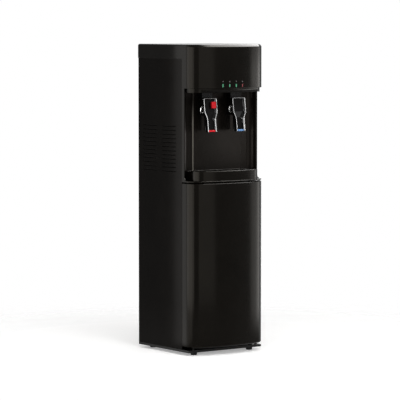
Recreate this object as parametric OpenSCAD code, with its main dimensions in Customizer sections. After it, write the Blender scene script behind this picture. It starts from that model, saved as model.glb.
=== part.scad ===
// Bottleless water cooler: floor-standing cabinet with two paddle taps over a drip tray
// Origin: middle of the footprint on the floor; the front faces -Y; millimetres

/* [Cabinet] */
// Overall width
body_w = 304; // [296:1:330]
// Overall depth, from the crown of the bowed front to the rear edge of the top cover
body_d = 340; // [336:1:380]
// Radius of the bow across the front
bow_r = 467; // [400:1:800]
// Radius of the two upright front corners
corner_r = 46; // [36:1:52]
// Thickness of the painted steel sheet
sheet_t = 1.2; // [0.8:0.1:1.6]
// Wall of the moulded plastic parts
wall_t = 2.5; // [2:0.1:3]
// How far the moulded parts stand proud of the steel sides
side_step = 0.4; // [0.2:0.1:1]
// From the front's crown back to the seam with the side panels
seam_back = 81; // [78:1:88]
// From the front's crown back to the straight front of the base
base_back = 44; // [36:1:56]
// From the top cover's rear edge forward to the rear panel
rear_recess = 25; // [25:1:30]
// How far the side panels stop short of the top cover's rear edge
side_short = 2; // [1:0.5:4]

/* [Heights] */
// Height of the feet
foot_h = 10; // [8:1:16]
// Height of the base tray's rim
base_h = 8; // [6:1:12]
// Gap between the base tray and the door
toe_gap = 9; // [8:1:14]
// Height of the door
door_h = 553; // [530:1:600]
// Height of the bevels along the door's top and bottom edges
door_bevel = 4; // [2:0.5:6]
// Running gap round the door
door_gap = 1.5; // [1.2:0.1:2.5]
// Height of the shelf moulding under the drip tray
shelf_h = 4; // [3.5:0.5:9]
// Height of the dispensing bay, deck to head
bay_h = 308.5; // [296:0.5:330]
// Height of the recessed lip under the head
lip_h = 14; // [10:1:18]
// Set-back of that lip from the head's face
lip_inset = 6; // [4:0.5:9]
// Height of the head's face
head_h = 137; // [125:1:170]
// Height of the top cover's crown above the head's face
crown_h = 9; // [6:0.5:14]
// Height of the top cover's skirt down the sides and rear
skirt_h = 39; // [30:1:48]

/* [Dispensing bay] */
// Width of the front cheeks that frame the bay
cheek_w = 13; // [10:1:16]
// Fillet between a cheek and the deck
cheek_fillet = 16; // [10:1:20]
// From the seam back to the bay's rear wall
bay_wall_back = 14; // [12:1:18]
// Radius of the coves beside the rear wall
cove_r = 24; // [18:1:26]
// Width of the raised panel that carries the taps
tap_panel_w = 202; // [190:1:216]
// How far that panel stands proud of the rear wall
tap_panel_t = 6; // [4:0.5:8]

/* [Drip tray] */
// Width of the drip tray
tray_w = 262; // [240:1:270]
// Height of the drip tray
tray_h = 33; // [28:1:40]
// Set-back of the tray from the front's crown
tray_inset = 2; // [1:0.5:4]
// Radius of the tray's front corners
tray_corner_r = 40; // [30:1:46]
// Thickness of the drip grid
grid_t = 4.5; // [3.5:0.5:6]
// Width of a grid bar
grid_bar = 3; // [2.5:0.5:4]
// Spacing of the grid bars
grid_pitch = 9; // [8:0.5:12]

/* [Indicators] */
// Width of one indicator lens
lens_w = 4.5; // [3.5:0.5:6]
// Height of one indicator lens
lens_h = 10; // [8:0.5:12]
// Spacing of the lenses
lens_pitch = 27; // [22:1:30]

/* [Taps] */
// Distance between the two taps
tap_pitch = 118.8; // [112:0.1:124]
// From the bay's lip down to the paddle's pivot
pivot_drop = 58; // [56:0.5:64]
// From the tap panel's face forward to the pivot
pivot_reach = 29; // [28:0.5:32]
// Width of the paddle at the top
paddle_top_w = 53; // [50:0.5:56]
// Width of the paddle's tongue
paddle_tongue_w = 35; // [32:0.5:38]
// Paddle above its pivot
paddle_up = 37; // [35:0.5:40]
// Paddle below its pivot
paddle_down = 76; // [72:1:80]
// From the pivot forward to the paddle's rim
paddle_reach = 17.2; // [16.8:0.2:18]
// Forward slant of the paddle, degrees
paddle_slant = 7.4; // [6.5:0.1:8]
// Radius of the hubs at the sides of the paddle
hub_r = 13; // [11:0.5:14]
// Radius of the pivot pins
pin_r = 2; // [1.5:0.1:2.2]
// Width of the child lock button
lock_w = 17; // [14:0.5:19]
// Height of the child lock button
lock_h = 22; // [18:0.5:26]
// Width of a tap's body
tap_body_w = 42.4; // [40:0.2:42.6]
// Radius of the spout
spout_r = 6; // [5:0.5:7]
// Radius of the threaded barrel behind the panel
barrel_r = 11; // [9:0.5:12]

/* [Door furniture] */
// Radius of the door's hinge knuckle
knuckle_r = 5.5; // [5:0.1:6.5]
// Height of a hinge pin inside the door
hinge_pin_h = 12; // [10:1:16]
// Height of the magnet strip
magnet_h = 60; // [40:1:80]

/* [Side louvres] */
// Length of a louvre
louvre_l = 82; // [70:1:84]
// Height of a louvre's slot
louvre_gap = 4; // [3:0.5:5]
// Spacing of the louvre rows
louvre_pitch = 13.75; // [12:0.25:14]
// Number of louvre rows
louvre_rows = 12; // [8:1:12]

/* [Water tanks] */
// Radius of the cold tank
cold_r = 60; // [56:0.5:62]
// Height of the cold tank
cold_h = 160; // [150:1:170]
// Thickness of the cold tank's foam
cold_foam = 15; // [12:0.5:16]
// Radius of the hot tank
hot_r = 40; // [36:0.5:41]
// Height of the hot tank
hot_h = 150; // [130:1:156]
// Thickness of the hot tank's foam
hot_foam = 12; // [10:0.5:13]
// Diameter of the evaporator tube
coil_d = 6; // [5:0.5:6]
// Turns of the evaporator tube
coil_turns = 8; // [5:1:8]

/* [Cooling circuit] */
// Radius of the compressor's shell
comp_r = 52; // [46:1:54]
// Height of the compressor's shell
comp_h = 150; // [135:1:160]
// Diameter of the condenser tube
cond_d = 5; // [4.5:0.5:6]
// Passes of the condenser tube
cond_passes = 12; // [8:2:12]
// Spacing of the condenser passes
cond_pitch = 38; // [32:1:40]
// Spacing of the condenser wires
wire_pitch = 8; // [7:0.5:12]
// Diameter of a condenser wire
wire_d = 1.6; // [1.4:0.1:2]

/* [Filters] */
// Radius of a filter cartridge
filter_r = 30; // [26:0.5:33]
// Height of a filter cartridge's body
filter_h = 290; // [240:1:310]
// Spacing of the three cartridges
filter_pitch = 84; // [78:0.5:88]
// Outside diameter of the water tubing
tube_d = 6.35; // [6:0.05:6.5]

/* [Hidden] */
$fn = 48;
bow_fn = 240;
eps = 0.01;
fit = 0.05;
gap = 0.3;
front_y = -body_d / 2;
back_y = body_d / 2;
seam_y = front_y + seam_back;
cheek_y = seam_y - cheek_w;
base_front_y = front_y + base_back;
side_back_y = back_y - side_short;
side_x = body_w / 2 - side_step;
side_in = side_x - sheet_t;
rear_y = back_y - rear_recess;
rear_in = rear_y - sheet_t;
floor_z = foot_h + wall_t;
rim_z = foot_h + base_h;
door_z0 = rim_z + toe_gap;
door_z1 = door_z0 + door_h;
shelf_z = door_z1 + door_gap;
deck_z = shelf_z + shelf_h;
head_z = deck_z + bay_h;
lip_z = head_z - lip_h;
crown_z = head_z + head_h;
top_z = crown_z + crown_h;
skirt_z = crown_z - skirt_h;
wall_y = seam_y + bay_wall_back;
liner_back_y = wall_y + wall_t;
tap_face_y = wall_y - tap_panel_t;
door_back_y = seam_y - door_gap;
hinge_x = body_w / 2 - knuckle_r;
hinge_y = door_back_y - knuckle_r;
knuckle_h = 22;
tray_back_y = tap_face_y - 3;
grid_z = deck_z + tray_h - grid_t - 0.5;
tap_x = tap_pitch / 2;
pivot_y = tap_face_y - pivot_reach;
pivot_z = lip_z - pivot_drop;
tap_front_y = pivot_y + 6;
tap_foot_z = pivot_z - 20;
lug_r = 5;
ear_in = tap_body_w / 2 + 0.4;
ear_t = 1.8;
ear_out = ear_in + ear_t;
hub_ring_t = 1.2;
hub_ring_w = 5.5;
lock_middle_z = paddle_up / 2 - 5;
lock_x1 = ear_in - gap;
trim_w = 3.2;
skin_t = 1.6;
rim_y = -paddle_reach;
trim_back_y = rim_y + 5;
pane_y = rim_y + 9;
tongue_y = rim_y + 12.5;
pane_t = 2.2;
tip_h = 6;
plunger_r = 3.5;
plunger_z = -11.2;
plunger_tip_y = -6.56;
barrel_z = pivot_z + 13;
barrel_back_y = liner_back_y + 20;
tail_y = barrel_back_y + 16;
nut_h = 8;
shelf2_z = deck_z + 12;
tank_floor_z = shelf2_z + sheet_t;
coil_steps = 24;
coil_r = (cold_r + coil_d / 2 + 0.3) / cos(180 / coil_steps);
cold_cavity_r = coil_r + coil_d / 2 + 0.4;
cold_jacket_r = cold_cavity_r + cold_foam;
hot_cavity_r = hot_r + 5.5;
hot_jacket_r = hot_cavity_r + hot_foam;
louvre_depth = 6;
cold_x = side_in - louvre_depth - 2 - cold_jacket_r;
hot_x = cold_x - cold_jacket_r - 4 - hot_jacket_r;
tank_y = rear_in - 4 - cold_jacket_r;
hot_y = tank_y - 18;
partition_y = 5;
stub_y = tank_y - 30;
stub_r = 5;
hose_bend = 20;
stub_top_z = barrel_z - hose_bend - 3;
hot_stub_top_z = tank_floor_z + 2 * hot_foam + hot_h + 12;
manifold_h = 30;
manifold_z = floor_z + 470;
manifold_front_y = partition_y - 64;
filter_y = partition_y - 35;
neck_r = 18;
neck_h = 12;
inlet_x = side_in - 26;
outlet_x = inlet_x - 32;
inlet_z = rim_z + 72;
comp_x = -side_in + comp_r + 38;
comp_y = rear_in - 12 - comp_r;
grommet_h = 12;
comp_foot_z = floor_z + grommet_h;
comp_z = comp_foot_z + 2.5;
cond_bend = cond_pitch / 2;
cond_z0 = comp_z + comp_h + 120;
cond_z1 = cond_z0 + cond_pitch * (cond_passes - 1);
cond_y = rear_y + 13;
cond_left = -side_in + 56;
cond_right = side_in - cond_bend - 30;
riser_x = cond_left - cond_bend - cond_d - 4;
riser_z = comp_z + comp_h + 60;
riser_bend = 10;
louvre_z = deck_z + 29.5;
louvre_y2 = side_back_y - 28 - louvre_l;
louvre_y1 = louvre_y2 - louvre_l - 30;
switch_z = skirt_z - 46;
switch_x = -60;
rocker_w = 11;
rocker_r = 9;
rocker_tilt = 8;
drain_x = hot_x;
drain_z = cond_z0 - 35;
drier_y = rear_in - 32;
capillary_d = 3;

// Plan of the cabinet: straight sides, round front corners and a bowed front, all tangent
module plan(half, front, r, bow, back) {
    bow_cy = front + bow;
    cx = half - r;
    cy = bow_cy - sqrt((bow - r) * (bow - r) - cx * cx);
    touch_x = cx * bow / (bow - r);
    intersection() {
        translate([0, bow_cy]) circle(r = bow, $fn = bow_fn);
        translate([-touch_x, front - 1]) square([2 * touch_x, back - front + 1]);
    }
    translate([-half, cy]) square([2 * half, back - cy]);
    intersection() {
        for (side = [-1, 1]) translate([side * cx, cy]) circle(r = r);
        translate([-half, front]) square([2 * half, cy - front + 1]);
    }
}

// The same plan drawn in by a constant margin, cut off straight at the back
module plan_in(margin, back) {
    plan(body_w / 2 - margin, front_y + margin, corner_r - margin, bow_r - margin, back);
}

module plan_ring(margin, wall, back) {
    difference() {
        plan_in(margin, back);
        plan_in(margin + wall, back + 1);
    }
}

module at_z(z) {
    translate([0, 0, z]) children();
}

// A box given by its two opposite corners
module block(low, high) {
    translate(low) cube(high - low);
}

// Extrudes a drawing of the Y-Z plane along X, between two values of X
module along_x(x0, x1) {
    translate([x0, 0, 0]) rotate([90, 0, 90]) linear_extrude(x1 - x0) children();
}

// Extrudes a drawing of the X-Z plane along Y, between two values of Y
module along_y(y0, y1) {
    translate([0, y1, 0]) rotate([90, 0, 0]) linear_extrude(y1 - y0) children();
}

// A round bar along X or along Y, between two values
module bar_x(x0, x1, y, z, r) {
    translate([x0, y, z]) rotate([0, 90, 0]) cylinder(r = r, h = x1 - x0);
}

module bar_y(y0, y1, x, z, r) {
    translate([x, y0, z]) rotate([-90, 0, 0]) cylinder(r = r, h = y1 - y0);
}

// Pipe runs: each step draws a stretch from the origin up +Z and carries its children on
module straight(length, d) {
    cylinder(d = d, h = length);
    at_z(length) children();
}

module bend(radius, d, roll = 0, angle = 90) {
    rotate([0, 0, roll]) {
        translate([radius, 0, 0]) rotate([90, 0, 0]) rotate([0, 0, 180 - angle])
            rotate_extrude(angle = angle) translate([radius, 0]) circle(d = d, $fn = 24);
        translate([radius, 0, 0]) rotate([0, angle, 0]) translate([-radius, 0, 0]) children();
    }
}

module rounded_slot(length, height) {
    r = height / 2;
    translate([r, -r]) square([length - height, height]);
    for (x = [r, length - r]) translate([x, 0]) circle(r = r, $fn = 24);
}

module base_tray() color("#1b1a19") difference() {
    union() {
        block([-side_x, base_front_y, foot_h], [side_x, side_back_y, floor_z]);
        difference() {
            block([-side_x, base_front_y, foot_h], [side_x, side_back_y, rim_z]);
            block([-side_x + 3, base_front_y + 3, floor_z], [side_x - 3, side_back_y - 3, rim_z + 1]);
        }
    }
    for (p = foot_places()) translate([p[0], p[1], 0]) cylinder(r = 4.2, h = rim_z);
}

function foot_places() = [for (x = [-1, 1], y = [base_front_y + 20, side_back_y - 34])
    [x * (side_x - 36), y]];

module levelling_feet() color("#141414") for (p = foot_places()) translate([p[0], p[1], 0]) {
    rotate_extrude() polygon([[0, 0], [9.5, 0], [11, 1.5], [11, foot_h - 2], [9, foot_h], [0, foot_h]]);
    at_z(foot_h) cylinder(r = 4, h = 14);
}

// Louvre field of one side, drawn in Y-Z
module louvre_places() {
    for (y = [louvre_y1, louvre_y2], row = [0 : louvre_rows - 1])
        translate([y, louvre_z + row * louvre_pitch]) children();
}

module side_panel() {
    panel_front = seam_y;
    difference() {
        union() {
            along_x(side_in, side_x) difference() {
                translate([panel_front, rim_z]) square([side_back_y - panel_front, skirt_z - rim_z]);
                louvre_places() rounded_slot(louvre_l, louvre_gap);
            }
            block([side_in - 11, panel_front, rim_z + 12], [side_in, panel_front + sheet_t, shelf_z - 2]);
            block([side_in - 11, panel_front, head_z + wall_t + 1], [side_in, panel_front + sheet_t, skirt_z]);
            block([side_in - 12, rear_in - sheet_t, rim_z + 12], [side_in, rear_in, skirt_z - 2]);
            block([side_in - 10, side_back_y - sheet_t, rim_z], [side_in, side_back_y, skirt_z]);
            louvre_hoods();
        }
        for (z = screw_levels()) bar_y(rear_in - 4, rear_in + 1, side_in - 6, z, 1.6);
    }
}

// Each louvre's blade is pressed inwards from the upper edge of its slot
module louvre_hoods() {
    blade = louvre_depth;
    for (y = [louvre_y1, louvre_y2], row = [0 : louvre_rows - 1]) {
        z = louvre_z + row * louvre_pitch + louvre_gap / 2;
        along_y(y + 2, y + louvre_l - 2) polygon([[side_in, z], [side_in, z + sheet_t],
            [side_in - blade, z - blade + sheet_t], [side_in - blade, z - blade]]);
    }
}

function screw_levels() = [for (i = [0 : 3]) rim_z + 60 + i * (skirt_z - rim_z - 100) / 3];

module right_side_panel() color("#24211f") side_panel();
module left_side_panel() color("#24211f") mirror([1, 0, 0]) side_panel();

module rear_panel() color("#1d1c1b") difference() {
    union() {
        block([-side_in, rear_in, rim_z], [side_in, rear_y, skirt_z]);
        block([-side_x + 3.5, rear_in, floor_z], [side_x - 3.5, rear_y, rim_z + 1]);
    }
    for (side = [-1, 1], z = screw_levels()) bar_y(rear_in - 1, rear_y + 1, side * (side_in - 6), z, 1.6);
    block([power_x0() + 2, rear_in - 1, switch_z - 13.2], [power_x1() - 2, rear_y + 1, switch_z + 13.2]);
    bar_y(rear_in - 1, rear_y + 1, inlet_x, inlet_z, 9.2);
    bar_y(rear_in - 1, rear_y + 1, drain_x, drain_z, 8.2);
    bar_y(rear_in - 1, rear_y + 1, riser_x, riser_z, cond_d / 2 + 1);
    bar_y(rear_in - 1, rear_y + 1, cond_left - riser_bend, cond_z0, cond_d / 2 + 1);
    along_y(rear_in - 1, rear_y + 1) for (row = [0 : 6])
        translate([-10, comp_z + 16 + row * 14]) rounded_slot(70, 5);
}

// Top cover: crowned lid over the head with a skirt down the sides and rear
module top_cover() color("#2a2725") difference() {
    union() {
        hull() {
            at_z(crown_z) linear_extrude(1) plan_in(0, back_y);
            at_z(top_z - 2.5) linear_extrude(eps) plan(body_w / 2 - 0.4, front_y + 5, corner_r, bow_r, back_y - 0.4);
            at_z(top_z - eps) linear_extrude(eps) plan(body_w / 2 - 3, front_y + 9, corner_r, bow_r, back_y - 3);
        }
        at_z(skirt_z) linear_extrude(skirt_h + 1) skirt_plan(0);
    }
    at_z(skirt_z - 1) linear_extrude(skirt_h + crown_h - wall_t) skirt_plan(wall_t);
    at_z(crown_z - 1) linear_extrude(crown_h - wall_t) plan_in(wall_t + 5, seam_y + 5);
}

// Footprint of the skirt behind the head, drawn in by a margin
module skirt_plan(margin) {
    translate([-body_w / 2 + margin, seam_y + margin]) square([body_w - 2 * margin, back_y - seam_y - 2 * margin]);
}

// Front moulding: head face, recessed lip and bay ceiling, the two cheeks, the shelf and its deck
module front_fascia() color("#252220") difference() {
    union() {
        difference() {
            union() {
                at_z(shelf_z) linear_extrude(crown_z - shelf_z) plan_ring(0, wall_t, seam_y);
                at_z(deck_z - wall_t) linear_extrude(wall_t) plan_in(1, seam_y);
                at_z(head_z) linear_extrude(wall_t) plan_ring(1, lip_inset + wall_t - 1, seam_y);
            }
            along_x(-body_w / 2 - 1, body_w / 2 + 1) bay_mouth();
        }
        block([-side_in + 1, seam_y - 1, deck_z - wall_t], [side_in - 1, liner_back_y + 4, deck_z]);
        translate([hinge_x, hinge_y, shelf_z]) cylinder(r = knuckle_r - 0.5, h = shelf_h - 1);
        at_z(lip_z) linear_extrude(lip_h + wall_t) plan_ring(lip_inset, wall_t, liner_back_y);
        at_z(lip_z) linear_extrude(wall_t) plan_in(lip_inset, liner_back_y);
    }
    lens_slots();
    translate([hinge_x, hinge_y, shelf_z - 1]) cylinder(r = pin_r + fit, h = shelf_h);
}

// Side view of the bay's mouth, with the fillet that runs from cheek to deck
module bay_mouth() {
    difference() {
        translate([front_y - 1, deck_z]) square([cheek_y - front_y + 1, bay_h]);
        translate([cheek_y - cheek_fillet, deck_z]) difference() {
            square([cheek_fillet + 1, cheek_fillet]);
            translate([0, cheek_fillet]) circle(r = cheek_fillet);
        }
    }
}

// One indicator lens: a slice of the head's face, a little deeper than its wall
module lens_shape(x) {
    at_z(head_z + wall_t + 1.5) linear_extrude(lens_h) intersection() {
        plan_ring(0, wall_t + 1.5, seam_y);
        translate([x - lens_w / 2, front_y - 1]) square([lens_w, 20]);
    }
}

module lens_slots() {
    for (i = [-1.5 : 1 : 1.5]) lens_shape(i * lens_pitch);
}

module green_lenses() color("#3fd08c") for (i = [-1.5 : 1 : 0.5]) lens_shape(i * lens_pitch);
module red_lens() color("#d8303c") lens_shape(1.5 * lens_pitch);

// Lamp board behind the lenses, standing on the ledge inside the head
module indicator_board() color("#2f5a38") {
    board_y = front_y + wall_t + 7;
    z = head_z + wall_t;
    block([-2 * lens_pitch - 8, board_y, z], [2 * lens_pitch + 8, board_y + 1.6, z + lens_h + 9]);
    for (i = [-1.5 : 1 : 1.5]) block([i * lens_pitch - 1.8, board_y - 1.5, z + 3], [i * lens_pitch + 1.8, board_y, z + 9]);
}

// Rear wall of the bay with a cove at each side
module bay_liner() color("#1a1918") difference() {
    half = body_w / 2 - wall_t;
    cove_x = half - 3 - cove_r;
    at_z(deck_z) linear_extrude(lip_z - deck_z) difference() {
        translate([-half, wall_y - cove_r]) square([2 * half, liner_back_y - wall_y + cove_r]);
        translate([-cove_x, wall_y - cove_r - 1]) square([2 * cove_x, cove_r + 1]);
        for (side = [-1, 1]) translate([side * cove_x, wall_y - cove_r]) circle(r = cove_r);
    }
    tap_holes();
}

module tap_holes() {
    for (side = [-1, 1]) bar_y(tap_face_y - 1, liner_back_y + 1, side * tap_x, barrel_z, barrel_r + gap);
}

module tap_panel() color("#232120") difference() {
    r = 3;
    half = tap_panel_w / 2;
    at_z(deck_z) linear_extrude(lip_z - deck_z) {
        translate([-half + r, tap_face_y]) square([2 * half - 2 * r, tap_panel_t]);
        translate([-half, tap_face_y + r]) square([2 * half, tap_panel_t - r]);
        for (side = [-1, 1]) translate([side * (half - r), tap_face_y + r]) circle(r = r, $fn = 24);
    }
    tap_holes();
}

// Plan of the drip tray, drawn in by a margin
module tray_plan(margin) {
    plan(tray_w / 2 - margin, front_y + tray_inset + margin, tray_corner_r - margin,
        bow_r - tray_inset - margin, tray_back_y - margin);
}

module drip_tray() color("#201e1d") {
    difference() {
        at_z(deck_z) linear_extrude(tray_h) tray_plan(0);
        at_z(deck_z + wall_t) linear_extrude(tray_h) tray_plan(wall_t);
    }
    at_z(grid_z - 3) linear_extrude(3) difference() {
        tray_plan(wall_t - 0.1);
        tray_plan(wall_t + 3);
    }
}

module drip_grid() color("#2b2927") at_z(grid_z) linear_extrude(grid_t) {
    margin = wall_t + gap;
    difference() {
        tray_plan(margin);
        tray_plan(margin + 5);
    }
    intersection() {
        tray_plan(margin + 1);
        union() {
            for (x = [0 : grid_pitch : tray_w / 2], side = [-1, 1])
                translate([side * x - grid_bar / 2, front_y]) square([grid_bar, body_d / 2]);
            for (t = [0.35, 0.7]) translate([-tray_w / 2, front_y + t * (tray_back_y - front_y)])
                square([tray_w, grid_bar]);
        }
    }
}

// Plan of the door with the hinge edge rounded about the hinge pin
module door_plan(margin) {
    difference() {
        plan_in(margin, door_back_y);
        translate([hinge_x, hinge_y]) difference() {
            square([2 * knuckle_r, 2 * knuckle_r]);
            circle(r = knuckle_r);
        }
    }
}

module door_skin() color("#262321") difference() {
    union() {
        difference() {
            hull() {
                at_z(door_z0) linear_extrude(eps) plan_in(door_bevel, door_back_y);
                at_z(door_z0 + door_bevel) linear_extrude(door_h - 2 * door_bevel) plan_in(0, door_back_y);
                at_z(door_z1 - eps) linear_extrude(eps) plan_in(door_bevel, door_back_y);
            }
            at_z(door_z0 + wall_t + 2) linear_extrude(door_h - 2 * wall_t - 4) plan_in(wall_t, door_back_y + 1);
            translate([hinge_x, hinge_y, 0]) linear_extrude(top_z) difference() {
                square([2 * knuckle_r, 2 * knuckle_r]);
                circle(r = knuckle_r);
            }
        }
        for (z = knuckle_levels()) translate([hinge_x, hinge_y, z]) cylinder(r = knuckle_r - 0.2, h = knuckle_h);
    }
    for (z = [door_z0 - 1, door_z1 - hinge_pin_h - 1]) translate([hinge_x, hinge_y, z])
        cylinder(r = pin_r + fit, h = hinge_pin_h + 2);
}

// Flat inner panel of the door with a stiffening swage
module door_inner_panel() color("#2e2b29") difference() {
    z0 = door_z0 + wall_t + 2;
    z1 = door_z1 - wall_t - 2;
    x1 = body_w / 2 - wall_t;
    union() {
        block([-x1, door_back_y - 3.5, z0], [x1, door_back_y - 1.2, z1]);
        difference() {
            block([-x1 + 22, door_back_y - 9, z0 + 22], [x1 - 22, door_back_y - 2, z1 - 22]);
            block([-x1 + 24, door_back_y - 7, z0 + 24], [x1 - 24, door_back_y, z1 - 24]);
        }
    }
    for (z = knuckle_levels()) translate([hinge_x, hinge_y, z - 1]) cylinder(r = knuckle_r, h = knuckle_h + 2);
}

function knuckle_levels() = [door_z0 + wall_t, door_z1 - wall_t - knuckle_h];

// Magnet strip on the door's inner panel, facing the steel flange of the side panel
module door_magnet() color("#3a3a3c") {
    z = (door_z0 + door_z1 - magnet_h) / 2;
    block([-side_x + 2.5, door_back_y - 1.2, z], [-side_x + 10.5, seam_y - 0.2, z + magnet_h]);
}

module hinge_pins() color("#b9bcc0") {
    pin_z0 = door_z1 - hinge_pin_h;
    translate([hinge_x, hinge_y, pin_z0]) cylinder(r = pin_r, h = shelf_z + shelf_h - 1 - gap - pin_z0);
    translate([hinge_x, hinge_y, rim_z + 3]) cylinder(r = pin_r, h = toe_gap - 3 + hinge_pin_h);
}

module lower_hinge_bracket() color("#77797c") difference() {
    union() {
        block([hinge_x - 16, hinge_y - 7, rim_z], [side_x, hinge_y + 4, rim_z + 3]);
        block([hinge_x - 16, hinge_y - 7, floor_z], [hinge_x - 6, hinge_y + 4, rim_z]);
        translate([hinge_x, hinge_y, rim_z]) cylinder(r = 4, h = toe_gap - 0.5);
    }
    translate([hinge_x, hinge_y, rim_z + 3]) cylinder(r = pin_r + fit, h = toe_gap);
}

// Places one tap's parts in their own frame: origin at the pivot, sheared forward by the slant
module tap_frame(side) {
    translate([side * tap_x, pivot_y, pivot_z]) children();
}

module paddle_frame(side) {
    tap_frame(side) rotate([-paddle_slant, 0, 0]) children();
}

// Half-width of the paddle at a height: wide head, an S-shaped shoulder, a narrow tongue
function paddle_half(z) = let (t = min(1, max(0, (z + 36) / 32)))
    paddle_tongue_w / 2 + (paddle_top_w - paddle_tongue_w) / 2 * (0.5 - 0.5 * cos(180 * t));

module paddle_face(margin) {
    top = paddle_up - margin;
    foot = -paddle_down + margin;
    levels = [foot, for (i = [0 : 12]) -36 + 32 * i / 12, top];
    polygon([for (z = levels) [paddle_half(z) - margin, z],
        for (i = [len(levels) - 1 : -1 : 0]) [margin - paddle_half(levels[i]), levels[i]]]);
}

module paddle_ring(outer, inner, y0, y1) {
    along_y(y0, y1) difference() {
        paddle_face(outer);
        paddle_face(inner);
    }
}

// Side view of the paddle's recessed face, which steps back below the hubs
module paddle_pane_side() {
    polygon([[pane_y, paddle_up], [pane_y, -8], [tongue_y, -30], [tongue_y, -paddle_down],
        [tongue_y + pane_t, -paddle_down], [tongue_y + pane_t, -30], [pane_y + pane_t, -8],
        [pane_y + pane_t, paddle_up]]);
}

module paddle(side, button) {
    paddle_frame(side) difference() {
        union() {
            intersection() {
                paddle_ring(0, skin_t, trim_back_y, 2);
                along_x(-paddle_top_w, paddle_top_w) polygon([[trim_back_y, paddle_up], [-3, paddle_up],
                    [-3, -12], [-1, -30], [-1, -paddle_down], [trim_back_y, -paddle_down]]);
            }
            intersection() {
                along_y(rim_y, 2) paddle_face(skin_t / 2);
                along_x(-paddle_top_w, paddle_top_w) paddle_pane_side();
            }
            for (s = [-1, 1]) bar_x(s > 0 ? ear_in : -ear_out, s > 0 ? ear_out : -ear_in, 0, 0, hub_r);
        }
        bar_x(-paddle_top_w, paddle_top_w, 0, 0, pin_r + fit);
        for (s = [-1, 1]) hub_window(s);
        paddle_tip_space(0.1);
        if (button) lock_stem(pane_y - 1, pane_y + pane_t + 1, 3.3);
    }
}

// Round window in the paddle's skirt, over the hub's outer face
module hub_window(s) {
    bar_x(s > 0 ? ear_out : -paddle_top_w, s > 0 ? paddle_top_w : -ear_out, 0, 0, hub_r - 0.2);
}

// The coloured tip closes the foot of the paddle between the bright rims
module paddle_tip_space(margin) {
    half = paddle_tongue_w / 2 - trim_w + margin;
    block([-half, rim_y - 1, -paddle_down - 1], [half, tongue_y, -paddle_down + tip_h + margin]);
}

module paddle_trim(side) {
    paddle_frame(side) {
        difference() {
            union() {
                paddle_ring(0, trim_w, rim_y, trim_back_y);
                difference() {
                    paddle_ring(skin_t + 0.1, trim_w, trim_back_y - 1, tongue_y);
                    along_x(-paddle_top_w, paddle_top_w) translate([0.1, 0]) pane_clearance();
                }
            }
            paddle_tip_space(0.1);
            for (s = [-1, 1]) bar_x(s > 0 ? ear_in - 0.1 : -ear_out - 0.1, s > 0 ? ear_out + 0.1 : 0.1 - ear_in,
                0, 0, hub_r + 0.1);
        }
        for (s = [-1, 1]) hub_ring(s);
    }
}

// Keeps the trim's inner skirt in front of the recessed face
module pane_clearance() {
    polygon([[pane_y - 0.2, paddle_up + 1], [pane_y - 0.2, -8], [tongue_y - 0.2, -30],
        [tongue_y - 0.2, -paddle_down - 1], [10, -paddle_down - 1], [10, paddle_up + 1]]);
}

// Bright dished ring over a hub's outer face, in the skirt's window
module hub_ring(s) {
    outer = hub_r - 0.5;
    translate([s * ear_out, 0, 0]) rotate([0, s * 90, 0]) difference() {
        cylinder(r = outer, h = hub_ring_t);
        at_z(-eps) cylinder(r1 = outer - hub_ring_w, r2 = outer - 0.5, h = hub_ring_t + 2 * eps);
    }
}

module paddle_tip(side) {
    half = paddle_tongue_w / 2 - trim_w;
    paddle_frame(side)
        block([-half, rim_y + 5, -paddle_down + 0.3], [half, tongue_y, -paddle_down + tip_h]);
}

module hot_paddle() color("#1c1b1b") paddle(-1, true);
module cold_paddle() color("#1c1b1b") paddle(1, false);
module hot_paddle_trim() color("#c9cccf") paddle_trim(-1);
module cold_paddle_trim() color("#c9cccf") paddle_trim(1);
module hot_paddle_tip() color("#d2323f") paddle_tip(-1);
module cold_paddle_tip() color("#6f9ac8") paddle_tip(1);

// Child lock: a sprung red button in the head of the hot paddle
module lock_stem(y0, y1, r) {
    bar_y(y0, y1, lock_x1 - lock_w / 2, lock_middle_z, r);
}

module hot_lock_button() color("#e0242f") paddle_frame(-1) {
    x0 = lock_x1 - lock_w;
    z0 = lock_middle_z - lock_h / 2;
    z1 = z0 + lock_h;
    r = 3;
    along_y(rim_y - 1.2, pane_y - 3.4) {
        translate([x0 + r, z0]) square([lock_w - 2 * r, z1 - z0]);
        translate([x0, z0 + r]) square([lock_w, z1 - z0 - 2 * r]);
        for (x = [x0 + r, lock_x1 - r], z = [z0 + r, z1 - r]) translate([x, z]) circle(r = r, $fn = 24);
    }
    lock_stem(pane_y - 3.5, pane_y + pane_t + 1, 3.2);
}

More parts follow.
